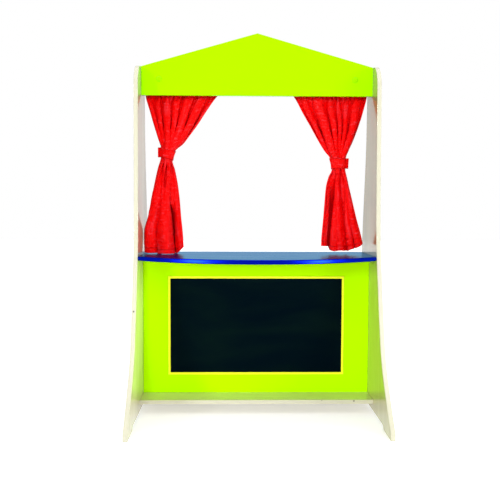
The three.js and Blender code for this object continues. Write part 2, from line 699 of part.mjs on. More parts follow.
// Tieback: a strap round the waist, with the overlapping ends as a tab on the outer side
function tieback(rows, out) {
  const first = waistRow * rowsPerStep + pocketRows;
  const ends = [rows[first], rows[first + rowsPerStep]];
  const [top, foot] = [strapInsetShare, 1 - strapInsetShare].map((share) => ({
    outer: new THREE.Vector2().lerpVectors(ends[0].outer, ends[1].outer, share),
    inner: new THREE.Vector2().lerpVectors(ends[0].inner, ends[1].inner, share),
  }));
  const halfDepthAt = ends[0].core + ends[0].fold + strapGap;
  const positions = [];
  const section = [[top, 0], [foot, 0], [foot, strapThickness], [top, strapThickness]];
  for (let side = 0; side < strapSides; side += 1) {
    const angle = 2 * Math.PI * side / strapSides;
    for (const [{ outer, inner }, grow] of section) {
      const centre = outer.clone().add(inner).multiplyScalar(0.5);
      const arm = inner.clone().sub(outer).multiplyScalar(0.5);
      arm.setLength(arm.length() + strapGap + grow);
      const reach = Math.cos(angle);
      positions.push(centre.x + arm.x * reach,
        rodY + (halfDepthAt + grow) * Math.sin(angle), centre.y + arm.y * reach);
    }
  }
  const faces = [];
  for (let side = 0; side < strapSides; side += 1) {
    const next = (side + 1) % strapSides;
    for (let corner = 0; corner < 4; corner += 1) {
      const after = (corner + 1) % 4;
      const [a, b] = [4 * side + corner, 4 * next + corner];
      const [c, d] = [4 * next + after, 4 * side + after];
      faces.push(a, b, c, a, c, d);
    }
  }
  if (out > 0) faces.reverse();
  const loop = new THREE.BufferGeometry();
  loop.setAttribute('position', new THREE.Float32BufferAttribute(positions, 3));
  loop.setIndex(faces);
  const grip = strapGap + strapThickness / 2;
  const corner = ({ outer }, reach) => new THREE.Vector2(outer.x + out * reach, outer.y);
  const tab = new THREE.ExtrudeGeometry(new THREE.Shape([
    corner(top, grip), corner(foot, grip), corner(foot, tabLength), corner(top, tabLength),
  ]), { depth: tabThickness, bevelEnabled: false });
  tab.applyMatrix4(facingAudience).translate(0, rodY + tabThickness / 2, 0);
  return geometryOf(solidOf(loop).add(solidOf(tab)));
}

const leftFolds = { pleatShares: leftPleatValleyShares, lobeShares: leftLobeValleyShares };
const rightFolds = { pleatShares: rightPleatValleyShares, lobeShares: rightLobeValleyShares };
const curtains = [
  ['left', -1, leftRowShares, leftPocketInnerShare, leftFolds],
  ['right', 1, rightRowShares, rightPocketInnerShare, rightFolds],
];
for (const [side, out, rowShares, pocketInnerShare, folds] of curtains) {
  const rows = curtainRows(rowShares, pocketInnerShare, out);
  const tunnel = roundBar(rodDiameter + 2 * pocketGap, rodSides, -halfStage, halfStage, alongX,
    0, rodY, rodHeight);
  const cloth = cut(curtainSolid(rows, folds, out), [tunnel]);
  place(`curtain_${side}`, redCotton, cloth, 0, 0, 0);
  place(`tieback_${side}`, redCotton, tieback(rows, out), 0, 0, 0);
}

export default theatre;
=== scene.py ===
# %% [markdown]
# A puppet theatre stand for children. Two swept birch plywood sides hold a gabled header, a bowed
# stage shelf, a front panel with a framed chalkboard and a low shelf. Two red curtains are
# threaded on a rod behind the header, each tied in at the waist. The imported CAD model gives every
# size and place, so the lesson starts by loading it. Lengths are metres, X runs along the stage,
# Y away from the audience and Z up.

# %% Load the frame
import math

import bmesh
import bpy
import numpy as np
from mathutils import Matrix, Vector, noise


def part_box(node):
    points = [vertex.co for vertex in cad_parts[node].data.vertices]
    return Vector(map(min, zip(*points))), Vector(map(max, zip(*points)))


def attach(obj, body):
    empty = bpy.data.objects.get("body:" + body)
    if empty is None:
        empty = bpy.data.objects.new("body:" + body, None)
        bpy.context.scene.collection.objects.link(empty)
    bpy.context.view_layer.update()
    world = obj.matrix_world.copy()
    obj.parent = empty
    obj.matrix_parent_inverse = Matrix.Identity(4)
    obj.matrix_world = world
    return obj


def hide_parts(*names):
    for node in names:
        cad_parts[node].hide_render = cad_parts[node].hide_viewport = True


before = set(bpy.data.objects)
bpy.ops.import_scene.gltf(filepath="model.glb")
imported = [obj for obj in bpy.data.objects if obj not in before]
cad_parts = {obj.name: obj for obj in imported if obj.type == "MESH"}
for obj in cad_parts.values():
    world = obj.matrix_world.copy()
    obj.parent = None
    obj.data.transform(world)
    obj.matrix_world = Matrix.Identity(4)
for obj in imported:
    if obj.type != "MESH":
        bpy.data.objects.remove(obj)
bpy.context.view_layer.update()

scene = bpy.context.scene
scene.view_settings.view_transform = "Standard"

# %% [markdown]
# The camera comes first, because every later look is compared from there. The photograph was
# taken from a child's standing height, a little left of the middle, and looks slightly down.
# Its place was worked out from the boards' corners. A camera looks along its own -Z, so it is
# first stood up by a quarter turn about X, and then pitched, turned and rolled.

# %% Camera
camera = bpy.data.objects.new("photo_camera", bpy.data.cameras.new("photo_camera"))
scene.collection.objects.link(camera)
camera.data.sensor_width = 36
camera.data.lens = 52.61
camera.matrix_world = (
    Matrix.Translation((-0.0781, -2.5445, 0.7242))
    @ Matrix.Rotation(math.radians(-1.19), 4, "Z")
    @ Matrix.Rotation(math.radians(90 - 3.24), 4, "X")
    @ Matrix.Rotation(math.radians(0.19), 4, "Z")
)
scene.camera = camera
print("camera at", [round(x, 3) for x in camera.matrix_world.translation])

# %% [markdown]
# A material is a small tree of nodes. One helper fills or links a node's inputs by name or
# number, and another adds a node, sets its properties and hands it its inputs. A third starts a
# material from a Principled shader and sets what is the same all over, straight on the shader's
# own sockets. Colours are written as the hex values that a screen shows, and shaders add up
# light, so they are made linear first. A Mix node's inputs 6 and 7 are its two colours.


# %% Helpers for materials
def linear(code):
    channels = [int(code[i:i + 2], 16) / 255 for i in (1, 3, 5)]
    return [c / 12.92 if c <= 0.04045 else ((c + 0.055) / 1.055) ** 2.4 for c in channels] + [1]


def set_inputs(tree, node, inputs):
    """A hex colour is made linear, and a node stands for the first of its outputs in use."""
    for socket, value in inputs.items():
        if isinstance(value, str):
            value = linear(value)
        if isinstance(value, bpy.types.Node):
            value = next(output for output in value.outputs if output.enabled)
        if isinstance(value, bpy.types.NodeSocket):
            tree.links.new(value, node.inputs[socket])
        else:
            node.inputs[socket].default_value = value


def add_node(tree, kind, inputs=None, **settings):
    node = tree.nodes.new("ShaderNode" + kind)
    for name, value in settings.items():
        setattr(node, name, value)
    set_inputs(tree, node, inputs or {})
    return node


def new_material(name, sockets):
    material = bpy.data.materials.new(name)
    material.use_nodes = True
    tree = material.node_tree
    shader = tree.nodes["Principled BSDF"]
    set_inputs(tree, shader, sockets)
    return material, tree, shader


# %% [markdown]
# The light is plain and soft, as in a product photograph. The world gives an even white light
# from all round. What the camera sees of it, straight, mirrored or through something, is plain
# white, and that is worked out from the kind of ray.

# %% White world
WORLD_LIGHT = 0.22


def seen(tree):
    """1 for a ray of the camera, straight, mirrored or let through, and 0 for one of light."""
    path = add_node(tree, "LightPath")
    share = path.outputs["Is Camera Ray"]
    for kind in ("Is Glossy Ray", "Is Transmission Ray"):
        share = add_node(tree, "Math", {0: share, 1: path.outputs[kind]}, operation="MAXIMUM")
    return share


world = bpy.data.worlds.new("studio")
scene.world = world
world.use_nodes = True
sky = world.node_tree
sky_level = add_node(sky, "MapRange", {"Value": seen(sky), "To Min": WORLD_LIGHT, "To Max": 1.0})
set_inputs(sky, sky.nodes["Background"], {"Color": "#FFFFFF", "Strength": sky_level})

# %% [markdown]
# Broad suns shape the light: a low one from the front, which reaches in under the stage shelf as
# the photographer's lamps did, a smaller and sharper one from the left that draws the folds and
# crinkles, one from the right for the insides of the sides, and a wide one from above that lights
# the floor. Suns are used because their light is equally strong everywhere, so a colour renders
# about as it is written. The front sun leaves no mirror image, as a lamp hidden behind the camera
# would not. One narrow spot near the floor, from the right, brightens the inside of the left
# foot. Two softboxes at the front corners show in gloss alone: they draw the pale glints along
# the stage shelf's front edge.


# %% Lamps
def add_lamp(name, kind, energy, **settings):
    lamp = bpy.data.objects.new(name, bpy.data.lights.new(name, kind))
    lamp.data.energy = energy
    for setting, value in settings.items():
        setattr(lamp.data, setting, value)
    scene.collection.objects.link(lamp)
    return lamp


def aim(lamp, place, target):
    lamp.location = place
    lamp.rotation_euler = (Vector(target) - Vector(place)).to_track_quat("-Z", "Y").to_euler()
    lamp.visible_camera = False


for name, strength, spread, turn, height, mirrored in [  # angles in degrees
    ("front_sun", 1.25, 10, -3, 2.5, False),
    ("left_sun", 0.9, 8, -36, 9, True),
    ("right_sun", 1.0, 24, 50, 6, True),
    ("top_sun", 1.8, 90, 10, 78, True),
]:
    sun = add_lamp(name, "SUN", strength, angle=math.radians(spread))
    sun.rotation_euler = (math.radians(90 - height), 0, math.radians(turn))
    sun.visible_glossy = mirrored

low_spot = add_lamp("low_spot", "SPOT", 118, spot_size=math.radians(20), spot_blend=1,
                    shadow_soft_size=0.15)
aim(low_spot, (1.7, -0.5, 0.2), (-0.41, -0.12, 0.3))
low_spot.visible_glossy = False

for name, x in (("left_softbox", -1.97), ("right_softbox", 2.03)):
    softbox = add_lamp(name, "AREA", 100, size=0.7)
    aim(softbox, (x, -1.93, 0.5), (0, -0.19, 0.5))
    softbox.visible_diffuse = False

# %% [markdown]
# The floor is a wide sheet of matt white paper. It is lifted slightly for the camera alone, so
# that the paper runs into the white world without a line and still shows the stand's shadow. It
# lies half a millimetre low, so that it never fights with the feet for the same place.

# %% Paper floor
FLOOR_LIFT, FLOOR_HALF, FLOOR_LOW = 0.44, 14, 0.0005


def mesh_data(name, mesh):
    """A bmesh as mesh data, which an object can hold."""
    data = bpy.data.meshes.new(name)
    mesh.to_mesh(data)
    mesh.free()
    return data


paper, tree, shader = new_material("white_paper", {
    "Base Color": "#FAFAFA", "Roughness": 0.9, "Specular IOR Level": 0.2,
    "Emission Color": "#FFFFFF"})
lift = add_node(tree, "Math", {0: seen(tree), 1: FLOOR_LIFT}, operation="MULTIPLY")
set_inputs(tree, shader, {"Emission Strength": lift})
sweep = bmesh.new()
bmesh.ops.create_grid(sweep, x_segments=1, y_segments=1, size=FLOOR_HALF)
floor = bpy.data.objects.new("floor", mesh_data("floor", sweep))
floor.data.materials.append(paper)
floor.location = (0, 0, -FLOOR_LOW)
scene.collection.objects.link(floor)
print("floor", 2 * FLOOR_HALF, "m wide")

# %% [markdown]
# The sides and the low shelf are birch plywood under clear satin lacquer. Its veneer is pale and
# nearly plain, with long faint streaks along the grain, and leans to green-yellow: birch tone with
# some painted lime bounce light in it. The right side is painted darker and more olive than the
# left, as painted shade and a painted lime reflection on its inner face, and above the shelf the
# veneer is painted greyer, as painted shade, while the lacquer there is duller. A cut edge shows
# eleven plies of about 1.4 mm, in turn along the grain, which is light, and across it, which is a
# little darker and duller, with a hair of glue between them. All of it comes from Object
# coordinates: the normal says what is face and what is edge, and the place through the board's
# thickness gives the ply.
# A few small core voids sit where the photograph shows them: spots of painted shade, not holes.

# %% Birch plywood
BOARD, PLIES = 0.015, 11


def streaks(tree, place, cells, **inputs):
    """Noise with so many cells a metre along each axis, which streaks where they differ."""
    mapping = add_node(tree, "Mapping", {"Vector": place, "Scale": cells})
    return add_node(tree, "TexNoise", {"Vector": mapping, "Scale": 1.0, **inputs})


def cells_along(axis, lengthways, sideways):
    """Cells a metre for streaks that run along one axis."""
    return [lengthways if number == axis else sideways for number in range(3)]


# The default veneers lean to green-yellow: birch tone with some painted lime bounce light.
def birch_plywood(name, across, start, grain, veneers=("#DED8A8", "#CAC08C"),
                  upper_shade="#A8A092", voids=()):
    """across and grain are the axis numbers of the thickness and of the face's grain."""
    material, tree, shader = new_material(name, {
        "IOR": 1.5, "Coat Weight": 0.8, "Coat Roughness": 0.1})
    coordinates = add_node(tree, "TexCoord")
    place = coordinates.outputs["Object"]
    spot = add_node(tree, "SeparateXYZ", {0: place})
    side = add_node(tree, "SeparateXYZ", {0: coordinates.outputs["Normal"]})
    facing = add_node(tree, "Math", {0: side.outputs[across]}, operation="ABSOLUTE")
    on_face = add_node(tree, "MapRange", {"Value": facing, "From Min": 0.8, "From Max": 0.95})
    # Streaks 90 mm long and 2.5 mm wide on the face, with a broad pale figure under them
    streak = streaks(tree, place, cells_along(grain, 11.0, 400.0), Detail=3.0, Roughness=0.55)
    figure = streaks(tree, place, cells_along(grain, 2.6, 22.0), Detail=2.0, Distortion=0.8)
    veneer_mix = add_node(tree, "Math", {0: streak, 1: figure}, operation="MULTIPLY")
    veneer_share = add_node(tree, "MapRange", {
        "Value": veneer_mix, "From Min": 0.12, "From Max": 0.42})
    veneer = add_node(tree, "Mix", {
        0: veneer_share, 6: veneers[0], 7: veneers[1]}, data_type="RGBA")
    upper_shade_and_dulling = add_node(tree, "MapRange", {  # painted shade above the shelf, and duller lacquer there
        "Value": spot.outputs[2], "From Min": 0.5, "From Max": 0.75, "To Max": 0.65})
    veneer = add_node(tree, "Mix", {0: upper_shade_and_dulling, 6: veneer, 7: upper_shade}, data_type="RGBA")
    # Plies: a sine with half a turn to each ply, sharpened at the glue lines
    depth = add_node(tree, "Math", {0: spot.outputs[across], 1: start}, operation="SUBTRACT")
    turn = add_node(tree, "Math", {0: depth, 1: math.pi * PLIES / BOARD}, operation="MULTIPLY")
    wave = add_node(tree, "Math", {0: turn}, operation="SINE")
    cross_ply = add_node(tree, "MapRange", {"Value": wave, "From Min": 0.2, "From Max": -0.2})
    glue = add_node(tree, "Math", {0: wave}, operation="ABSOLUTE")
    glue_line = add_node(tree, "MapRange", {
        "Value": glue, "From Min": 0.28, "From Max": 0.05, "To Max": 0.4})
    edge_grain = add_node(tree, "TexNoise", {"Vector": place, "Scale": 900.0, "Detail": 2.0})
    edge_share = add_node(tree, "Math", {0: cross_ply, 1: edge_grain}, operation="MULTIPLY")
    edge = add_node(tree, "Mix", {0: edge_share, 6: "#CFCFB7", 7: "#B5AD8D"}, data_type="RGBA")
    edge = add_node(tree, "Mix", {0: glue_line, 6: edge, 7: "#C4B083"}, data_type="RGBA")
    # Core voids: dark spots of painted shade, where the ply edge has small gaps that are not cut
    for x, y, z, size in voids:
        away = add_node(tree, "VectorMath", {0: place, 1: (x, y, z)}, operation="DISTANCE")
        rough_away = add_node(tree, "Math", {
            0: edge_grain, 1: size, 2: away}, operation="MULTIPLY_ADD")
        void_shade = add_node(tree, "MapRange", {
            "Value": rough_away, "From Min": 1.6 * size, "From Max": size, "To Max": 0.95})
        edge = add_node(tree, "Mix", {0: void_shade, 6: edge, 7: "#3A2A1A"}, data_type="RGBA")
    colour = add_node(tree, "Mix", {0: on_face, 6: edge, 7: veneer}, data_type="RGBA")
    worn = add_node(tree, "MapRange", {"Value": upper_shade_and_dulling, "To Min": 0.3, "To Max": 0.75})
    rough = add_node(tree, "MapRange", {"Value": on_face, "To Min": 0.5, "To Max": worn})
    bump = add_node(tree, "Bump", {"Height": streak, "Strength": 0.12, "Distance": 0.0002})
    set_inputs(tree, shader, {"Base Color": colour, "Roughness": rough, "Normal": bump})
    return material


side_box = {side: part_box(f"side_panel_{side}") for side in ("left", "right")}
# The right side is painted darker and olive: painted shade and a painted lime reflection.
birch_side = {
    "left": birch_plywood("birch_plywood_left_side", 0, side_box["left"][0].x, 2,
                          voids=[(-0.418, -0.0956, 0.377, 0.0034)]),
    "right": birch_plywood("birch_plywood_right_side", 0, side_box["right"][0].x, 2,
                           veneers=("#C4BE78", "#ACA65A"), upper_shade="#8C7E68"),
}
birch_shelf = birch_plywood("birch_plywood_low_shelf", 2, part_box("low_shelf")[0].z, 0, voids=[
    (0.3423, -0.013, 0.0492, 0.0034), (0.229, -0.013, 0.0513, 0.0018)])
print("ply", round(1000 * BOARD / PLIES, 2), "mm thick")

# %% [markdown]
# The header and the front panel are sprayed lime green, silk gloss. Sprayed lacquer is never
# optically flat: it has a very fine ripple, like orange peel, and the long grain of the veneer
# still shows under it as a faint relief. The colour is one pigment, so it varies only a little;
# the header is painted a little darker than the panel, as painted shade, since it gets more light
# than the panel under the shelf. A lime surface throws back lime even in its shine, so the tint
# of the gloss is the paint's own. The yellow strips round the chalkboard are the same kind of
# lacquer on a planed moulding, and the two caps are moulded in a glossier lime, painted darker
# than the header as painted shade for the shading of their small domes.


# %% Silk lacquers
def silk_lacquer(name, colour, deeper, grain, shine=0.06):
    material, tree, shader = new_material(name, {
        "IOR": 1.48, "Specular IOR Level": shine, "Specular Tint": colour})
    place = add_node(tree, "TexCoord").outputs["Object"]
    cloud = add_node(tree, "TexNoise", {"Vector": place, "Scale": 3.5, "Detail": 2.0})
    tone = add_node(tree, "Mix", {0: cloud, 6: colour, 7: deeper}, data_type="RGBA")
    fibre = streaks(tree, place, cells_along(grain, 7.0, 260.0), Detail=2.0)
    peel = add_node(tree, "TexNoise", {  # ripples about 1.5 mm across
        "Vector": place, "Scale": 650.0, "Detail": 0.0})
    relief = add_node(tree, "Math", {0: fibre, 1: 0.6, 2: peel}, operation="MULTIPLY_ADD")
    bump = add_node(tree, "Bump", {"Height": relief, "Strength": 0.1, "Distance": 0.0001})
    handled = add_node(tree, "MapRange", {"Value": cloud, "To Min": 0.3, "To Max": 0.4})
    set_inputs(tree, shader, {"Base Color": tone, "Roughness": handled, "Normal": bump})
    return material


# The header's lime is darker than the panel's: painted shade for its stronger light.
lime_lacquer = silk_lacquer("lime_silk_lacquer", "#A9FF00", "#A3FB00", 0)
lime_panel = silk_lacquer("lime_silk_lacquer_panel", "#BAFF00", "#B4FC00", 0)
yellow_lacquer = silk_lacquer("yellow_silk_lacquer", "#FBFF33", "#F3FB2B", 0)
# The caps' darker lime is painted shade for the shading of their domes.
lime_plastic = silk_lacquer("lime_moulded_cap", "#A0E800", "#98E000", 2, 0.6)
print("lacquers", lime_lacquer.name, lime_panel.name, yellow_lacquer.name, lime_plastic.name)

# %% [markdown]
# The stage shelf is lacquered a deep blue and polished, so at the camera's low angle its top
# mirrors the pale room and the hems of the curtains, and its front edge stays nearly black-blue.
# Blue enamel with fine pearl flakes does that: light goes through the blue to the flakes and
# comes back blue, and at a glancing angle the shine pales to sky blue. So the shader is mostly
# metallic, with a blue base and a paler tint for glancing light. Dust and wiping make the gloss a
# little uneven.

# %% Blue gloss lacquer
blue_gloss, tree, shader = new_material("blue_gloss_lacquer", {
    "IOR": 1.45, "Metallic": 0.9, "Specular IOR Level": 0.05, "Specular Tint": "#48D2EC"})
place = add_node(tree, "TexCoord").outputs["Object"]
wipe = streaks(tree, place, cells_along(0, 6.0, 30.0), Detail=3.0)
pigment = add_node(tree, "Mix", {0: wipe, 6: "#031296", 7: "#020F88"}, data_type="RGBA")
wiped = add_node(tree, "MapRange", {"Value": wipe, "To Min": 0.2, "To Max": 0.3})
peel = add_node(tree, "TexNoise", {"Vector": place, "Scale": 420.0, "Detail": 0.0})
bump = add_node(tree, "Bump", {"Height": peel, "Strength": 0.05, "Distance": 0.0001})
set_inputs(tree, shader, {"Base Color": pigment, "Roughness": wiped, "Normal": bump})

# %% [markdown]
# The chalkboard is thin hardboard with satin black chalkboard paint. The paint is nearly black
# with a little green in it, and fine grit in it takes the chalk. It has been wiped with a sponge,
# which leaves wide, very faint bands of dust.

# %% Chalkboard paint
WIPED = math.radians(24)  # the slant of the sponge's bands
slate_paint, tree, shader = new_material("chalkboard_paint", {
    "IOR": 1.45, "Specular IOR Level": 0.06, "Specular Tint": "#3A8C96"})
place = add_node(tree, "TexCoord").outputs["Object"]
sponge_place = add_node(tree, "Mapping", {
    "Vector": place, "Rotation": (0, WIPED, 0), "Scale": (3.0, 3.0, 11.0)})
sponge = add_node(tree, "TexNoise", {
    "Vector": sponge_place, "Scale": 1.0, "Detail": 4.0, "Distortion": 0.6})
dust = add_node(tree, "MapRange", {"Value": sponge, "From Min": 0.35, "From Max": 0.8})
paint = add_node(tree, "Mix", {0: dust, 6: "#010810", 7: "#061411"}, data_type="RGBA")
grit = add_node(tree, "TexNoise", {  # grit of about 0.6 mm
    "Vector": place, "Scale": 1600.0, "Detail": 1.0})
bump = add_node(tree, "Bump", {"Height": grit, "Strength": 0.2, "Distance": 0.0002})
rough = add_node(tree, "MapRange", {"Value": sponge, "To Min": 0.42, "To Max": 0.6})
set_inputs(tree, shader, {"Base Color": paint, "Roughness": rough, "Normal": bump})

# %% [markdown]
# The rod and the dowels are turned beech, left bare. Beech is pinkish tan with short darker
# flecks along the grain. The connectors are zinc-plated steel, a bluish grey metal whose plating
# is slightly cloudy.

# %% Beech and zinc
beech, tree, shader = new_material("bare_beech", {"Roughness": 0.55, "IOR": 1.5})
place = add_node(tree, "TexCoord").outputs["Object"]
fleck = streaks(tree, place, cells_along(0, 90.0, 900.0), Detail=2.0)
fleck_share = add_node(tree, "MapRange", {"Value": fleck, "From Min": 0.35, "From Max": 0.7})
wood = add_node(tree, "Mix", {0: fleck_share, 6: "#E6C9A0", 7: "#C9A173"}, data_type="RGBA")
bump = add_node(tree, "Bump", {"Height": fleck, "Strength": 0.2, "Distance": 0.0002})
set_inputs(tree, shader, {"Base Color": wood, "Normal": bump})

zinc_plate, tree, shader = new_material("zinc_plated_steel", {"Metallic": 1.0})
place = add_node(tree, "TexCoord").outputs["Object"]
cloud = add_node(tree, "TexNoise", {"Vector": place, "Scale": 500.0, "Detail": 3.0})
tint = add_node(tree, "Mix", {0: cloud, 6: "#CDD2D6", 7: "#B4B8BA"}, data_type="RGBA")
rough = add_node(tree, "MapRange", {"Value": cloud, "To Min": 0.22, "To Max": 0.42})
set_inputs(tree, shader, {"Base Color": tint, "Roughness": rough})

# %% [markdown]
# The curtains and ties are crinkled plain-weave cotton, dyed bright red. Cotton has a soft sheen
# where its surface turns away, which looks pinkish on red. The crinkle is short creases that run
# across the cloth, about 8 mm apart and 22 mm long. The threads are really 0.4 mm apart, too fine
# to see here, so the weave is drawn at 1.2 mm. The pattern follows the cloth's own UV map, which
# is laid out in metres, so it bends with every fold. Rows of stitching along the hems are drawn
# on it too. An attribute named crest says how near a place is to a fold top that faces the front,
# and is lower in the valleys: the valleys get painted shade in a deeper red, and the crests get
# painted pink highlights along their crinkles and in long streaks.


# %% Crinkled cotton
THREAD = 0.0012  # one thread of the weave, as drawn
WAVE_LENGTH = 0.31416  # of a wave texture at scale 1
STITCH, SEWING_HALF = 0.003, 0.0007


def crinkled_cotton(name, width, stitch_rows, side_hem):
    """stitch_rows are heights on the UV map, in metres, of the rows of stitching across."""
    material, tree, shader = new_material(name, {
        "Roughness": 0.34, "IOR": 1.45, "Specular IOR Level": 0.07,
        "Sheen Weight": 0.06, "Sheen Roughness": 0.35, "Sheen Tint": "#FF4A60"})
    cloth = add_node(tree, "UVMap", uv_map="cloth")
    spot = add_node(tree, "SeparateXYZ", {0: cloth})
    crinkle = streaks(tree, cloth, (45.0, 125.0, 1.0), Detail=3.0, Roughness=0.5, Distortion=0.7)
    thread = [add_node(tree, "TexWave", {
        "Vector": cloth, "Scale": WAVE_LENGTH / THREAD * 0.5, "Distortion": 1.5,
        "Detail": 1.0}, bands_direction=direction) for direction in ("X", "Y")]
    weave = add_node(tree, "Math", {
        0: thread[0].outputs["Fac"], 1: thread[1].outputs["Fac"]}, operation="MULTIPLY")
    relief = add_node(tree, "Math", {0: weave, 1: 0.12, 2: crinkle}, operation="MULTIPLY_ADD")
    # Stitches on each hem: dips in the cloth along a thin row
    dash = add_node(tree, "Math", {0: spot.outputs[0], 1: 2 * math.pi / STITCH},
                    operation="MULTIPLY")
    dash = add_node(tree, "Math", {0: dash}, operation="SINE")
    dash = add_node(tree, "MapRange", {
        "Value": dash, "From Min": -0.6, "From Max": 0.0, "To Min": 0.4})
    seam = 0.0
    for axis, height in [(1, row) for row in stitch_rows] + [(0, side_hem), (0, width - side_hem)]:
        sewn = add_node(tree, "Math", {
            0: spot.outputs[axis], 1: height, 2: SEWING_HALF}, operation="COMPARE")
        seam = add_node(tree, "Math", {0: seam, 1: sewn}, operation="MAXIMUM")
    stitch = add_node(tree, "Math", {0: seam, 1: dash}, operation="MULTIPLY")
    dipped = add_node(tree, "Math", {0: stitch, 1: -0.8, 2: relief}, operation="MULTIPLY_ADD")
    bump = add_node(tree, "Bump", {"Height": dipped, "Strength": 1.0, "Distance": 0.005})
    # Dye: a little uneven, painted shade in valleys, painted highlights on crests, dark stitches
    crest = add_node(tree, "Attribute", attribute_name="crest").outputs["Fac"]
    # Long streaks for painted pink highlights along the ridges
    highlight_streak = streaks(tree, cloth, (70.0, 9.0, 1.0), Detail=1.0)
    shade = add_node(tree, "MapRange", {"Value": crinkle, "From Min": 0.3, "From Max": 0.7})
    # Painted shade: the valleys are mixed towards a deeper red
    valley_shade = add_node(tree, "MapRange", {
        "Value": crest, "From Min": 0.55, "From Max": 0.0, "To Max": 0.6})
    # Painted pink highlights on the crests, along the crinkles and the streaks
    crest_highlight = add_node(tree, "MapRange", {
        "Value": crinkle, "From Min": 0.58, "From Max": 0.72, "To Max": 0.5})
    highlight_streak = add_node(tree, "MapRange", {
        "Value": highlight_streak, "From Min": 0.6, "From Max": 0.72, "To Max": 0.25})
    crest_highlight = add_node(tree, "Math", {0: crest_highlight, 1: highlight_streak}, operation="ADD")
    crest_highlight = add_node(tree, "Math", {0: crest_highlight, 1: crest}, operation="MULTIPLY")
    thread_tint = add_node(tree, "Math", {0: stitch, 1: 0.5}, operation="MULTIPLY")
    dye = "#FA0001"
    for share, colour in ((shade, "#FF0403"), (valley_shade, "#A80004"), (crest_highlight, "#FF5464"),
                          (thread_tint, "#B80404")):
        dye = add_node(tree, "Mix", {0: share, 6: dye, 7: colour}, data_type="RGBA")
    set_inputs(tree, shader, {"Base Color": dye, "Normal": bump})
    return material


# %% [markdown]
# The boards, the chalkboard, its frame and the hidden dowels already have the right shape in the
# CAD model. They stay as they are, and only their material slots are filled.

# %% Finishes on the CAD pieces that stay
kept_finish = {
    "header_board": lime_lacquer, "front_panel": lime_panel, "low_shelf": birch_shelf,
    "chalkboard": slate_paint,
}
kept_finish.update({f"frame_strip_{s}": yellow_lacquer for s in ("top", "bottom", "left", "right")})
kept_finish.update({name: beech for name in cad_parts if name.startswith("dowel_")})
for name, material in kept_finish.items():
    for material_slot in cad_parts[name].material_slots:
        material_slot.material = material
print("finished CAD pieces:", len(kept_finish))

# %% [markdown]
# New pieces need a few more helpers. One puts a mesh in the scene, in place of CAD nodes and on
# the body that it moves with. One does so for a hard piece made as a bmesh, with smooth shading
# and with edges sharper than a given angle kept crisp. One drills round or hexagonal holes with a
# boolean, which leaves clean walls, and one rounds the rims that a rule picks out.


# %% Helpers for pieces
SAME, MERGE = 1e-6, 0.00001  # lengths that count as none, and that merge two points


def place_piece(name, data, material, body, node):
    data.materials.append(material)
    data.shade_smooth()
    piece = bpy.data.objects.new(name, data)
    scene.collection.objects.link(piece)
    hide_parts(node)
    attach(piece, body)
    return piece


def finish_piece(name, mesh, material, node, sharp=35):
    """Puts a bmesh on the stand in place of a CAD node; sharp is in degrees."""
    bmesh.ops.recalc_face_normals(mesh, faces=mesh.faces)
    piece = place_piece(name, mesh_data(name, mesh), material, "stand", node)
    piece.data.set_sharp_from_angle(angle=math.radians(sharp))
    return piece


def bar(mesh, radius, start, end, segments=48):
    """Adds a closed round bar between two points."""
    start, end = Vector(start), Vector(end)
    turn = (end - start).to_track_quat("Z", "Y").to_matrix().to_4x4()
    bmesh.ops.create_cone(
        mesh, cap_ends=True, segments=segments, radius1=radius, radius2=radius,
        depth=(end - start).length, matrix=Matrix.Translation((start + end) / 2) @ turn)


def drilled(mesh, cutters):
    """The mesh with bars taken out of it; each cutter is a bar's radius, start, end, segments."""
    drill = bmesh.new()
    for cutter in cutters:
        bar(drill, *cutter)
    objects = []
    for role, source in (("body", mesh), ("cutter", drill)):
        bmesh.ops.recalc_face_normals(source, faces=source.faces)
        objects.append(bpy.data.objects.new(role, mesh_data(role, source)))
        scene.collection.objects.link(objects[-1])
    hole = objects[0].modifiers.new("holes", "BOOLEAN")
    hole.operation = "DIFFERENCE"
    hole.solver = "EXACT"
    hole.object = objects[1]
    result = bmesh.new()
    result.from_object(objects[0], bpy.context.evaluated_depsgraph_get())
    for made in objects:
        bpy.data.meshes.remove(made.data)
    return result


def in_plane(edge, axis):
    """Whether an edge lies in a plane across the axis."""
    return abs(edge.verts[0].co[axis] - edge.verts[1].co[axis]) < SAME


def round_rims(mesh, chosen, width, segments):
    bmesh.ops.bevel(
        mesh, geom=[edge for edge in mesh.edges if chosen(edge)], offset=width,
        offset_type="OFFSET", segments=segments, profile=0.5, affect="EDGES", material=-1,
        clamp_overlap=True)


# %% [markdown]
# The side panels are jigsawn to a sweep that shows in every view, so each gets a finer skin: a
# copy of the CAD mesh, whose loose triangles are merged and whose flat parts are joined. Smooth
# shading with normals weighted by face area then rounds the sweep and the broken edges, and
# leaves the broad faces flat.

# %% Side panels
FLAT = math.radians(0.2)
for side in ("left", "right"):
    panel = bmesh.new()
    panel.from_mesh(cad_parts[f"side_panel_{side}"].data)
    bmesh.ops.remove_doubles(panel, verts=panel.verts, dist=MERGE)
    bmesh.ops.dissolve_limit(panel, angle_limit=FLAT, verts=panel.verts, edges=panel.edges)
    board = finish_piece(f"side_panel_{side}_board", panel, birch_side[side],
                         f"side_panel_{side}", sharp=55)
    board.modifiers.new("flat_faces", "WEIGHTED_NORMAL").keep_sharp = True
    print(board.name, len(board.data.vertices), "vertices")

# %% [markdown]
# The stage shelf mirrors its surroundings, so any facet along its bowed front would show. It is
# drawn as a joiner would: a corner point is swept round the bow's centre, the two straight back
# corners are joined on, the face is filled and pushed up by the board's thickness, and all
# edges are rounded over with a 4 mm cutter. The holes for the barrel nuts come from below.

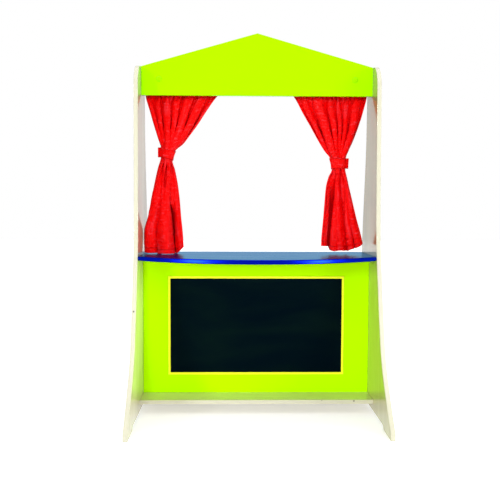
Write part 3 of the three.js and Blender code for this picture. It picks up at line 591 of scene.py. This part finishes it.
# %% Outline of the stage shelf
shelf_low, shelf_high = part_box("stage_shelf")
HALF_STAGE, SHELF_BOW, BOW_STEPS = 0.41, 0.171, 160
bow_radius = (HALF_STAGE ** 2 + SHELF_BOW ** 2) / (2 * SHELF_BOW)
bow_centre = Vector((0, shelf_low.y + bow_radius, shelf_low.z))
bow_half = math.asin(HALF_STAGE / bow_radius)
corner_y = bow_centre.y - bow_radius * math.cos(bow_half)

shelf = bmesh.new()
first = bmesh.ops.create_vert(shelf, co=(-HALF_STAGE, corner_y, shelf_low.z))["vert"][0]
bmesh.ops.spin(shelf, geom=[first], cent=bow_centre, axis=(0, 0, 1), angle=2 * bow_half,
               steps=BOW_STEPS, use_duplicate=False)
back = [shelf.verts.new((x, shelf_high.y, shelf_low.z)) for x in (HALF_STAGE, -HALF_STAGE)]
shelf.verts.ensure_lookup_table()
last = max((v for v in shelf.verts if v not in back), key=lambda v: v.co.x)
for pair in ((last, back[0]), (back[0], back[1]), (back[1], first)):
    shelf.edges.new(pair)
print("stage shelf radius of bow", round(bow_radius, 4), "edges", len(shelf.edges))

# %% Stage shelf
SHELF_ROUND, NUT_HOLE, HOLE_ROOF, OVERRUN = 0.004, 0.0055, 0.0012, 0.001
underside = bmesh.ops.contextual_create(shelf, geom=shelf.edges[:])["faces"]
raised = bmesh.ops.extrude_face_region(shelf, geom=underside)["geom"]
bmesh.ops.translate(shelf, vec=(0, 0, shelf_high.z - shelf_low.z),
                    verts=[g for g in raised if isinstance(g, bmesh.types.BMVert)])
print("faces of the underside",
      sum(face.calc_center_median().z < shelf_low.z + SAME for face in shelf.faces))
round_rims(shelf, lambda edge: in_plane(edge, 2), SHELF_ROUND, 6)
nut_middles = [sum(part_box(f"barrel_nut_shelf_{row}_{side}"), Vector()) / 2
               for row in ("front", "rear") for side in ("left", "right")]
shelf = drilled(shelf, [
    (NUT_HOLE, (middle.x, middle.y, shelf_low.z - OVERRUN),
     (middle.x, middle.y, shelf_high.z - HOLE_ROOF), 32) for middle in nut_middles])
shelf_piece = finish_piece("stage_shelf_board", shelf, blue_gloss, "stage_shelf",
                           sharp=40)
shelf_piece.modifiers.new("flat_faces", "WEIGHTED_NORMAL").keep_sharp = True
print(shelf_piece.name, len(shelf_piece.data.polygons), "faces")

# %% [markdown]
# Small turned parts. The rod is a plain bar with broken ends, let into the side panels. A header
# cap is a shallow moulded dome that hides a nut hole: its half profile is a short chain of
# points, spun a full turn, as on a lathe.

# %% Rod
ROD_RADIUS, ROD_ROUND = 0.006, 0.0008
rod_low, rod_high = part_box("curtain_rod")
ROD_Y, ROD_Z = (rod_low.y + rod_high.y) / 2, (rod_low.z + rod_high.z) / 2
rod = bmesh.new()
bar(rod, ROD_RADIUS, (rod_low.x, ROD_Y, ROD_Z), (rod_high.x, ROD_Y, ROD_Z), 64)
round_rims(rod, lambda edge: in_plane(edge, 0), ROD_ROUND, 3)
rod_piece = finish_piece("curtain_rod_bar", rod, beech, "curtain_rod")
print(rod_piece.name, round(rod_high.x - rod_low.x, 4), "m long")

# %% Caps
CAP_GAP, CAP_LIP, STEM_RADIUS = 0.0011, 0.0011, 0.005
LIP_ROUND, LIP_STEP, DOME_STEPS, LATHE_STEPS = 0.0003, 0.0004, 12, 48
for side in ("left", "right"):
    low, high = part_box(f"header_cap_{side}")
    middle = Vector(((low.x + high.x) / 2, high.y, (low.z + high.z) / 2))
    radius = (high.x - low.x) / 2
    rim_y = high.y - CAP_GAP
    lip_y = rim_y - CAP_LIP
    profile = [(0.0, high.y), (STEM_RADIUS, high.y), (STEM_RADIUS, rim_y),
               (radius - LIP_ROUND, rim_y), (radius, rim_y - LIP_ROUND),
               (radius, lip_y + LIP_ROUND), (radius - LIP_STEP, lip_y)]
    profile += [((radius - LIP_STEP) * math.cos(a), lip_y - (lip_y - low.y) * math.sin(a))
                for a in [math.pi / 2 * step / DOME_STEPS for step in range(1, DOME_STEPS + 1)]]
    cap = bmesh.new()
    chain = [cap.verts.new((middle.x + out, y, middle.z)) for out, y in profile]
    edges = [cap.edges.new(pair) for pair in zip(chain, chain[1:])]
    bmesh.ops.spin(cap, geom=chain + edges, cent=middle, axis=(0, 1, 0), angle=2 * math.pi,
                   steps=LATHE_STEPS, use_merge=True, use_duplicate=False)
    bmesh.ops.remove_doubles(cap, verts=cap.verts, dist=MERGE)
    finish_piece(f"header_cap_{side}_dome", cap, lime_plastic, f"header_cap_{side}")
print("caps", round(2000 * radius, 1), "mm across")

# %% [markdown]
# A connector bolt has a flat head with a hexagonal socket, 4 mm across its flats, and its shank
# runs into a barrel nut, a short zinc pin with a cross hole. Socket and hole are drilled by a
# boolean, because their sharp rims show how deep they are.

# %% Bolts
HEAD_RADIUS, HEAD_HIGH, HEAD_ROUND, SHANK_RADIUS = 0.0085, 0.0023, 0.0008, 0.003
SOCKET_RADIUS, SOCKET_DEEP, SHANK_GAP = 0.00231, 0.0019, 0.00005
bolts = [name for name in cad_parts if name.startswith("bolt_")]
for name in bolts:
    low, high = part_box(name)
    y, z = (low.y + high.y) / 2, (low.z + high.z) / 2
    outward = -1 if name.endswith("left") else 1
    top, tip = (high.x, low.x) if outward > 0 else (low.x, high.x)
    seat = top - outward * HEAD_HIGH
    bolt = bmesh.new()
    bar(bolt, HEAD_RADIUS, (seat, y, z), (top, y, z))
    round_rims(bolt, lambda edge: all(abs(v.co.x - top) < SAME for v in edge.verts), HEAD_ROUND, 4)
    bolt = drilled(bolt, [(SOCKET_RADIUS, (top + outward * OVERRUN, y, z),
                           (top - outward * SOCKET_DEEP, y, z), 6)])
    bar(bolt, SHANK_RADIUS, (seat - outward * SHANK_GAP, y, z), (tip, y, z), 24)
    finish_piece(name + "_turned", bolt, zinc_plate, name, sharp=50)
print("bolts", len(bolts))

# %% Barrel nuts
NUT_RADIUS, NUT_ROUND, CROSS_RADIUS, CROSS_HALF = 0.005, 0.0004, 0.0035, 0.01
nuts = [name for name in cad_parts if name.startswith("barrel_nut_")]
for name in nuts:
    low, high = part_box(name)
    centre, size = (low + high) / 2, high - low
    axis = 1 if size.y > size.z else 2
    half = Vector()
    half[axis] = size[axis] / 2
    nut = bmesh.new()
    bar(nut, NUT_RADIUS, centre - half, centre + half, 40)
    round_rims(nut, lambda edge: in_plane(edge, axis), NUT_ROUND, 2)
    reach = Vector((CROSS_HALF, 0, 0))
    nut = drilled(nut, [(CROSS_RADIUS, centre - reach, centre + reach, 24)])
    finish_piece(name + "_turned", nut, zinc_plate, name, sharp=50)
print("barrel nuts", len(nuts))

# %% [markdown]
# Each curtain is one sheet of cotton, 440 mm wide when flat. Every row across it has that same
# width, so where the curtain is narrow its folds are deep. A row is drawn as a meander: the
# direction in which the cloth runs swings from side to side along the row, and one number, how
# far it swings, is solved so that the row just fills the space between the curtain's two edges.
# That is how a river or a folded cloth keeps its length, and it rolls the folds over at the
# waist by itself. Simulation was left out, because the photograph fixes both outlines and the
# folds, and a meander meets them exactly.
#
# The edges are measured rows, in millimetres, from under the rod to the hem: the outer edge's
# place and height, the inner edge's place and height, how far the folds have changed from narrow
# pleats to the wide lobes at the hem, how round the bundle is, and the most that its folds may
# stand out.

# %% Sizes of the curtains
CLOTH_WIDTH, COLUMNS, STEPS = 0.44, 232, 10
WAIST = (6, 7)  # the rows at the upper and the lower edge of the tie
curtain_rows = {
    "left": [
        (405, 1150, 124.5, 1150, 0.0, 0.0, 10), (397.5, 1114, 155, 1114, 0.0, 0.1, 17),
        (385, 1072, 184, 1072, 0.0, 0.2, 22), (371.5, 1025, 214.5, 1025, 0.0, 0.3, 23),
        (359.5, 986, 243.5, 986, 0.0, 0.45, 22), (350.5, 959, 266, 957, 0.0, 0.7, 19),
        (346.5, 945, 294.5, 932, 0.05, 1.0, 15.5), (346.5, 908, 305, 897, 0.15, 1.0, 15.5),
        (358, 868, 295.5, 862, 0.4, 0.8, 20), (371.5, 809, 285.5, 808, 0.65, 0.6, 26),
        (382.5, 751, 278.5, 748, 0.78, 0.45, 30), (394.5, 692, 274, 692, 0.85, 0.35, 32),
        (406.5, 650, 270, 655, 0.9, 0.3, 33), (408, 612, 267, 618, 0.92, 0.25, 34),
        (406, 566, 265, 584, 0.95, 0.2, 34),
    ],
    "right": [
        (405, 1150, 120.5, 1150, 0.0, 0.0, 10), (396.5, 1114, 144.5, 1114, 0.0, 0.1, 17),
        (385.5, 1072, 167, 1072, 0.0, 0.2, 22), (372, 1025, 194.5, 1025, 0.0, 0.3, 23),
        (353.5, 975, 222.5, 975, 0.0, 0.45, 22), (335, 935, 247, 935, 0.0, 0.7, 19),
        (325.5, 909, 267, 909, 0.05, 1.0, 15.5), (323.5, 870, 275, 868, 0.15, 1.0, 15.5),
        (329.5, 840, 263, 840, 0.35, 0.8, 20), (338, 804, 253.5, 805, 0.55, 0.6, 24),
        (354, 740, 248, 740, 0.7, 0.45, 27), (366.5, 690, 244.5, 690, 0.78, 0.35, 28),
        (378, 650, 241, 650, 0.85, 0.3, 28), (386, 620, 238.5, 620, 0.88, 0.25, 28),
        (391, 597, 237.5, 588.5, 0.9, 0.2, 28),
    ],
}
for side, rows in curtain_rows.items():
    print(side, "curtain", rows[0][0] - rows[0][2], "mm wide on the rod and",
          rows[WAIST[1]][0] - rows[WAIST[1]][2], "mm at the waist")

# %% [markdown]
# A smooth line through the measured rows gives a row every few millimetres. The solver is a
# bisection: it swings the direction more until the row is short enough.


# %% Helpers for the rows of cloth
def through(rows, steps):
    """Rows of numbers on a smooth line through the given rows, steps to each gap."""
    points = np.array(rows, float)
    extended = np.vstack([2 * points[0] - points[1], points, 2 * points[-1] - points[-2]])
    found = []
    for index in range(len(points) - 1):
        before, start, end, after = extended[index:index + 4]
        for t in np.linspace(0, 1, steps, endpoint=index == len(points) - 2):
            found.append(0.5 * (2 * start + (end - before) * t
                                + (2 * before - 5 * start + 4 * end - after) * t * t
                                + (3 * start - before - 3 * end + after) * t ** 3))
    return np.array(found)


def meander(swing_shape, chord, length):
    """Along and out of a cloth row that runs to and fro by swing_shape and spans chord."""
    low, high = 0.0, 3.0
    for _ in range(40):
        swing = (low + high) / 2
        if np.mean(np.cos(swing * swing_shape)) * length > chord:
            low = swing
        else:
            high = swing
    angle = swing * swing_shape
    step = length / (len(angle) - 1)
    middle = (angle[1:] + angle[:-1]) / 2
    along = np.concatenate([[0], np.cumsum(np.cos(middle))]) * step
    out = np.concatenate([[0], np.cumsum(np.sin(middle))]) * step
    out -= np.linspace(out[0], out[-1], len(out))
    return along, out - (out.max() + out.min()) / 2, angle


def ease(value, start, end):
    t = min(max((value - start) / (end - start), 0.0), 1.0)
    return t * t * (3 - 2 * t)


print("a row", CLOTH_WIDTH, "m long that spans half of it stands out",
      round(meander(np.cos(np.linspace(0, 60, COLUMNS)), CLOTH_WIDTH / 2, CLOTH_WIDTH)[1].max(), 4))

# %% [markdown]
# The folds lie between valleys at given shares of the way from the outer to the inner edge, with
# one valley beyond each edge. There are narrow pleats from the rod to below the waist, and wide
# lobes at the hem, where one valley hangs open. The gathers on the rod are twice as fine as the
# pleats, which form where gathers run together. So a row's swing is a blend of three waves.

# %% Folds
pleat_valley_shares = {
    "left": [-0.03, 0.08, 0.20, 0.38, 0.52, 0.72, 0.93, 1.04],
    "right": [-0.12, 0.04, 0.23, 0.34, 0.44, 0.59, 0.82, 0.96, 1.06],
}
lobe_valley_shares = {
    "left": [-0.04, 0.35, 0.83, 1.12],
    "right": [0.0, 0.20, 0.40, 0.62, 0.865, 1.11],
}
lobe_lean = {"left": 0.07, "right": 0.0}  # how much farther out the open valley is higher up
LEAN_HEIGHTS = (690, 800)
# The last valley but one hangs open: half its width, as a share, at the top and at the hem
open_valley = {"left": (0.018, 0.011), "right": (0.035, 0.017)}
OPEN_CHANGE = (0.5, 0.9)
OPEN_TURN = 0.05  # how little the wave turns on each side of an open valley
GATHERS, GATHER_SHARE, GATHER_STEPS = 15.0, 0.75, 1.6 * STEPS
FULL_TURN, SHARPNESS, SWAY = 2 * math.pi, 0.55, 0.01
seeds = {"left": 3.0, "right": 11.0}
across = np.linspace(0, 1, COLUMNS)


def fold_wave(valley_shares, sway=0.0, opened=0.0):
    """A wave with narrow valleys at the given shares and broad ridges between them, and how
    near each place is to a ridge. The last valley but one is held open by opened on each side."""
    shares, counts = list(valley_shares), list(range(len(valley_shares)))
    if opened:
        shares[-2:-1] = [shares[-2] - opened, shares[-2] + opened]
        counts[-2:-1] = [counts[-2] - OPEN_TURN, counts[-2] + OPEN_TURN]
    turns = FULL_TURN * np.interp(across + sway, shares, counts)
    return np.sin(turns + SHARPNESS * np.sin(turns)), 0.5 - 0.5 * np.cos(turns)


def row_folds(side, index, down, change, height):
    """How far a row's cloth swings at each place, and how near each place is to a ridge."""
    gather = GATHER_SHARE * (1 - ease(index, 0, GATHER_STEPS))
    pleats, pleat_ridges = fold_wave(
        pleat_valley_shares[side], SWAY * math.sin(7 * down + seeds[side]))
    gathers = np.cos(FULL_TURN * GATHERS * across + 1.2 * np.sin(FULL_TURN * across + seeds[side]))
    lobes = list(lobe_valley_shares[side])
    lobes[-2] -= lobe_lean[side] * ease(height, *LEAN_HEIGHTS)
    wide, wide_ridges = fold_wave(lobes, 0, np.interp(change, OPEN_CHANGE, open_valley[side]))
    swing = (1 - change) * ((1 - gather) * pleats + gather * gathers) + change * wide
    ridges = (1 - change) * (pleat_ridges + gather * (1 - pleat_ridges)) + change * wide_ridges
    return swing, ridges


print("pleats", {side: len(found) - 1 for side, found in pleat_valley_shares.items()},
      "lobes", {side: len(found) - 1 for side, found in lobe_valley_shares.items()})

# %% [markdown]
# The body of a curtain runs from under the rod to the hem. Each row's meander is laid between its
# two edges, bent to an oval where the tie rounds the bundle, and kept within its depth. Noise
# adds short creases across the cloth. The hem drops under the line between its two corners, and
# on the left its middle lobe swings out towards the audience. The attribute of painted fold light
# is worked out here too, because here it is known which places are valleys: they get painted
# shade, less of it near the rod and just under the tie, and on the right's hem towards the outer
# edge.

# %% Bodies of the curtains
MM = 1000  # to a metre
# Drop of the hem, in millimetres, by share of the way to the inner edge, and where it sets in
hem_drops = {
    "left": ([0, 0.1, 0.35, 0.4, 0.6, 0.78, 0.84, 0.93, 1], [0, 5, 9, 15, 17, 21, 20, 9, 0]),
    "right": ([0, 0.15, 0.23, 0.31, 0.38, 0.46, 0.54, 0.69, 0.77, 0.81, 0.9, 1],
              [0, 12, 17, 19, 25, 23, 21, 23, 20, 4, 2, 0]),
}
DROP_HEIGHTS = (720, 575)
# How much painted shade the valleys get, by height, and how much more by share across the hem
valley_shade_by_height = ([580, 640, 740, 850, 880, 960, 1025, 1075],
                [0.5, 1.0, 1.05, 0.6, 0.8, 1.0, 0.8, 0.45])
lobe_valley_shade = {"left": (0.0, 0.0), "right": (-0.75, 0.6)}
LOBE_SHADE_SHARES = (0.45, 0.6)
CREASE, OVAL_END, SHELF_GAP = 0.0017, 0.03, 0.0012
# The left's middle lobe: how far it stands out, its middle and half width as shares; and a place
# beside it that lies farther out
lobe_out, LOBE_SHARE, LOBE_HALF_SHARE = {"left": 0.016, "right": 0.0}, 0.55, 0.2
lobe_shift, SHIFT_SHARE, SHIFT_HALF_SHARE = {"left": 0.045, "right": 0.0}, 0.4, 0.05
SHELF_TOP = shelf_high.z


def creases(seed, down, round_share):
    """How far short creases stand out of the cloth, less where the bundle is round."""
    found = [1.1 * noise.noise((14 * u + seed, 34 * down, 0))
             + 0.55 * noise.noise((30 * u, 95 * down, seed)) for u in across]
    return np.array(found) * (CREASE * (1 - 0.6 * round_share))


def cloth_rows(side):
    """Points of the body of a curtain, rows by columns, x outwards from the stage's middle."""
    rows = through(curtain_rows[side], STEPS)
    grid = np.zeros((len(rows), COLUMNS, 3))
    crests = np.ones((len(rows), COLUMNS))
    for index, (outer_x, outer_z, inner_x, inner_z, change, round_share, limit) in enumerate(rows):
        down = index / (len(rows) - 1)
        change = min(max(change, 0), 1)
        swing, ridges = row_folds(side, index, down, change, outer_z)
        chord = math.hypot(outer_x - inner_x, outer_z - inner_z) / MM
        along, out, angle = meander(swing, chord, CLOTH_WIDTH)
        crease = creases(seeds[side], down, round_share)
        along = along - np.sin(angle) * crease
        out = out + np.cos(angle) * crease
        # Painted fold light: 1 on fold tops that face the front; valleys get painted shade by depth
        crest = np.clip(np.cos(angle), 0, 1) * np.clip(1.6 * ridges - 0.1, 0, 1)
        depth = np.interp(outer_z, *valley_shade_by_height) * (
            1 + change * np.interp(across, LOBE_SHADE_SHARES, lobe_valley_shade[side]))
        crests[index] = np.clip(1 - depth * (1 - crest), 0, 1)
        share = (along - along.min()) / (along.max() - along.min())
        oval = np.sqrt(np.clip(1 - (2 * share - 1) ** 2, OVAL_END, 1))
        out = out * (1 - round_share + round_share * oval)
        out *= min(1.0, limit / MM / max(out.max(), -out.min()))
        out += lobe_out[side] * change * np.exp(-((share - LOBE_SHARE) / LOBE_HALF_SHARE) ** 4)
        fall = np.interp(share, *hem_drops[side]) * ease(outer_z, *DROP_HEIGHTS)
        height = (outer_z + (inner_z - outer_z) * share - fall) / MM
        share = share - lobe_shift[side] * change * np.exp(
            -((share - SHIFT_SHARE) / SHIFT_HALF_SHARE) ** 2)
        grid[index, :, 0] = (outer_x + (inner_x - outer_x) * share) / MM
        grid[index, :, 1] = ROD_Y - out
        grid[index, :, 2] = np.maximum(height, SHELF_TOP + SHELF_GAP)
    return grid, crests


bodies = {side: cloth_rows(side) for side in ("left", "right")}
print("rows", {side: len(grid) for side, (grid, crests) in bodies.items()})

# %% [markdown]
# Above the body, the sheet goes on: its first rows are the turned-in edge of the pocket behind
# the rod, then up round the rod, over the heading and down in front of the rod. Both layers of
# the pocket ripple outwards from the rod and meet at the stitching under and over it. No point
# of them comes nearer to the rod than a given clearance, because a curtain that cuts into its
# rod could not slide.

# %% Pockets and headings
POCKET_HALF, HEADING, ROD_CLEAR = 0.0095, 0.009, 0.0073
POCKET_OPEN, LAYER_HALF, BULGE, RIPPLE_POWER = 0.0072, 0.0006, 0.0045, 1.5
EDGE_GAP, HEADING_GAP, HEADING_FLARE, TOP_ROLL = 0.0011, 0.0007, 0.25, 0.0005
POCKET_DEGREES = range(-80, 81, 16)
HEADING_SHARES = (0.0, 0.35, 0.7, 0.95)
EDGE_ROWS = (3, 2, 1)  # of the body, which the turned-in edge lies behind
UNDER_HEADING = len(EDGE_ROWS) + len(POCKET_DEGREES)  # the last row of the pocket behind the rod
ABOVE_FRONT = UNDER_HEADING + 2 * len(HEADING_SHARES) + 1  # the heading's last row in front


def pocket_rows(body):
    """Rows of the pocket and heading above the body, from behind the rod round to its front."""
    first = body[0]
    ripple = ROD_Y - first[:, 1]
    swing = ripple / abs(ripple).max()
    rows = []
    for number in EDGE_ROWS:
        row = body[number].copy()
        row[:, 1] += EDGE_GAP
        rows.append(row)

    def pocket(sign, level):
        row = first.copy()
        open_half = POCKET_OPEN * math.sqrt(1 - level * level) + LAYER_HALF
        bulge = BULGE * (1 - level * level) * (0.5 + 0.5 * sign * swing)
        out = open_half + bulge + sign * ripple * abs(level) ** RIPPLE_POWER
        beside_rod = ROD_CLEAR ** 2 - (POCKET_HALF * level) ** 2
        if beside_rod > 0:
            out = np.maximum(out, math.sqrt(beside_rod))
        row[:, 1] = ROD_Y - sign * out
        row[:, 2] = ROD_Z + POCKET_HALF * level
        return row

    def heading(sign, share):
        row = first.copy()
        row[:, 1] = ROD_Y - ripple * (1 + HEADING_FLARE * share) - sign * HEADING_GAP
        row[:, 2] = ROD_Z + POCKET_HALF + HEADING * share
        return row

    levels = [math.sin(math.radians(a)) for a in POCKET_DEGREES]
    rows += [pocket(-1, level) for level in [-1.0] + levels]
    rows += [heading(-1, share) for share in HEADING_SHARES]
    top = heading(1, 1.0)
    top[:, 1] += HEADING_GAP
    top[:, 2] += TOP_ROLL
    rows.append(top)
    rows += [heading(1, share) for share in reversed(HEADING_SHARES)]
    rows += [pocket(1, level) for level in reversed(levels)]
    return np.array(rows)


pockets = {side: pocket_rows(grid) for side, (grid, crests) in bodies.items()}
print("pocket", 2 * POCKET_HALF, "m high for a rod of", 2 * ROD_RADIUS)

# %% [markdown]
# A sheet starts as a flat grid of squares, and its points are then moved to their rows. It keeps
# a UV map in metres, across by column and down by length, for the weave. The Solidify modifier
# gives it its thickness, and a vertex group makes it twice as thick where a hem is turned over.


# %% Helpers for sheets
def sheet_mesh(name, grid, crests, width, mirrored):
    """The mesh through a grid of points, and each row's length down from the first. On a mirrored
    sheet the columns run the other way, so that its faces still point outwards."""
    rows, columns = grid.shape[:2]
    steps = np.linalg.norm(np.diff(grid, axis=0), axis=2).mean(axis=1)
    length = np.concatenate([[0], np.cumsum(steps)])
    sheet = bmesh.new()
    bmesh.ops.create_grid(sheet, x_segments=columns - 1, y_segments=rows - 1, size=width)
    cloth = sheet.loops.layers.uv.new("cloth")
    crest = sheet.verts.layers.float.new("crest")
    for index, vert in enumerate(sheet.verts):
        row, column = divmod(index, columns)
        if mirrored:
            column = columns - 1 - column
        vert.co = grid[row, column]
        vert[crest] = crests[row, column]
        for corner in vert.link_loops:
            corner[cloth].uv = (column / (columns - 1) * width, length[row])
    bmesh.ops.reverse_faces(sheet, faces=sheet.faces)
    return mesh_data(name, sheet), length


def hang(data, material, side, node, thickness, hem=None):
    """Puts a sheet in the scene, twice as thick where hem(u, v) says that it is turned over."""
    piece = place_piece(data.name, data, material, f"{side}_curtain", node)
    thick = piece.vertex_groups.new(name="thickness")
    thick.add(list(range(len(data.vertices))), 0.5, "REPLACE")
    if hem:
        spots = data.uv_layers["cloth"].data
        doubled = {loop.vertex_index for loop in data.loops if hem(*spots[loop.index].uv)}
        thick.add(sorted(doubled), 1.0, "REPLACE")
    wall = piece.modifiers.new("cloth_thickness", "SOLIDIFY")
    wall.thickness = 2 * thickness
    wall.offset = 0
    wall.vertex_group = "thickness"
    return piece


# %% Curtains
SIDE_HEM, FOOT_HEM, CLOTH_THICK, THREAD_GAP = 0.009, 0.016, 0.0004, 0.0005
for side, sign in (("left", -1), ("right", 1)):
    body, crests = bodies[side]
    grid = np.vstack([pockets[side], body])
    grid[:, :, 0] *= sign
    above = len(pockets[side])
    crests = np.vstack([np.tile(crests[0], (above, 1)), crests])
    data, length = sheet_mesh(f"curtain_{side}_cloth", grid, crests, CLOTH_WIDTH, sign > 0)
    total = length[-1]
    cotton = crinkled_cotton(f"crinkled_red_cotton_{side}", CLOTH_WIDTH, [
        length[above] + THREAD_GAP, total - FOOT_HEM, length[UNDER_HEADING] + THREAD_GAP,
        length[ABOVE_FRONT] - THREAD_GAP], SIDE_HEM)
    hang(
        data, cotton, side, f"curtain_{side}", CLOTH_THICK,
        lambda u, v: u < SIDE_HEM or u > CLOTH_WIDTH - SIDE_HEM or v > total - FOOT_HEM)

# %% [markdown]
# A tie is a strip of the same cotton, doubled and stitched along both edges. It goes round the
# waist of the curtain, and its two ends are pressed together into a short tab on the outer side.
# Its path is drawn from above as a keyhole: out of the tab, round the oval waist and back to the
# tab. Each row of the strip follows the same path a little lower, and the edges flare slightly
# where the cloth above and below pushes them out.

# %% Path of a tie
TAB, TIE_ROWS, RING_STEPS, MOUTH = 0.011, 11, 100, 3
HALF_DEPTH, ARM_CLEAR, FLARE, WAVE, CRUMPLE = 0.0174, 0.0012, 0.0012, 0.0004, 0.0004
PINCH_SHARE = 0.85  # of the waist's depth at its two ends
tab_profile = ((0.0, 0.0012), (0.004, 0.0013), (0.0072, 0.0015))  # in from the tip, half its gap


def tie_grid(top, foot):
    """top and foot are (outer x, outer z, inner x, inner z) of the strip's two edges."""
    rows = []
    for level in np.linspace(0, 1, TIE_ROWS):
        outer_x, outer_z, inner_x, inner_z = top + (foot - top) * level
        centre = Vector(((outer_x + inner_x) / 2, 0, (outer_z + inner_z) / 2))
        arm = Vector((inner_x - outer_x, 0, inner_z - outer_z)) / 2
        flare = FLARE * (2 * level - 1) ** 4 + WAVE * math.sin(9 * level)
        arm = arm.normalized() * (arm.length + ARM_CLEAR + flare)
        ring = []
        for step in range(RING_STEPS + 1):
            angle = math.pi - FULL_TURN * step / RING_STEPS
            reach, out = math.cos(angle), math.sin(angle)
            pinch = PINCH_SHARE + (1 - PINCH_SHARE) * abs(out)
            crumple = CRUMPLE * noise.noise((9 * reach, 9 * out, 3 * level))
            point = centre + arm * reach
            point.y = ROD_Y - (HALF_DEPTH + flare + crumple) * out * pinch
            ring.append(point)
        tip = Vector((outer_x + TAB, 0, outer_z))
        start = [Vector((tip.x - inwards, ROD_Y - gap, tip.z)) for inwards, gap in tab_profile]
        end = [Vector((p.x, 2 * ROD_Y - p.y, p.z)) for p in reversed(start)]
        rows.append([tuple(p) for p in start + ring[MOUTH:-MOUTH] + end])
    return np.array(rows)


# %% Ties
TIE_SHARES = (0.02, 0.98)  # of the way down the waist, for the strip's two edges
TIE_THICK, TIE_SEAM, TIE_END = 0.0009, 0.0025, 0.0022
for side, sign in (("left", -1), ("right", 1)):
    upper, lower = [np.array(curtain_rows[side][index][:4]) / MM for index in WAIST]
    grid = tie_grid(*[upper + (lower - upper) * share for share in TIE_SHARES])
    grid[:, :, 0] *= sign
    strip = float(np.linalg.norm(np.diff(grid, axis=1), axis=2).sum(axis=1).mean())
    data, height = sheet_mesh(
        f"tieback_{side}_strip", grid, np.ones(grid.shape[:2]), strip, sign > 0)
    cotton = crinkled_cotton(
        f"red_cotton_tie_{side}", strip, [TIE_SEAM, height[-1] - TIE_SEAM], TIE_END)
    tie = hang(data, cotton, side, f"tieback_{side}", TIE_THICK)
    print(tie.name, "strip", round(strip, 3), "by", round(height[-1], 3))
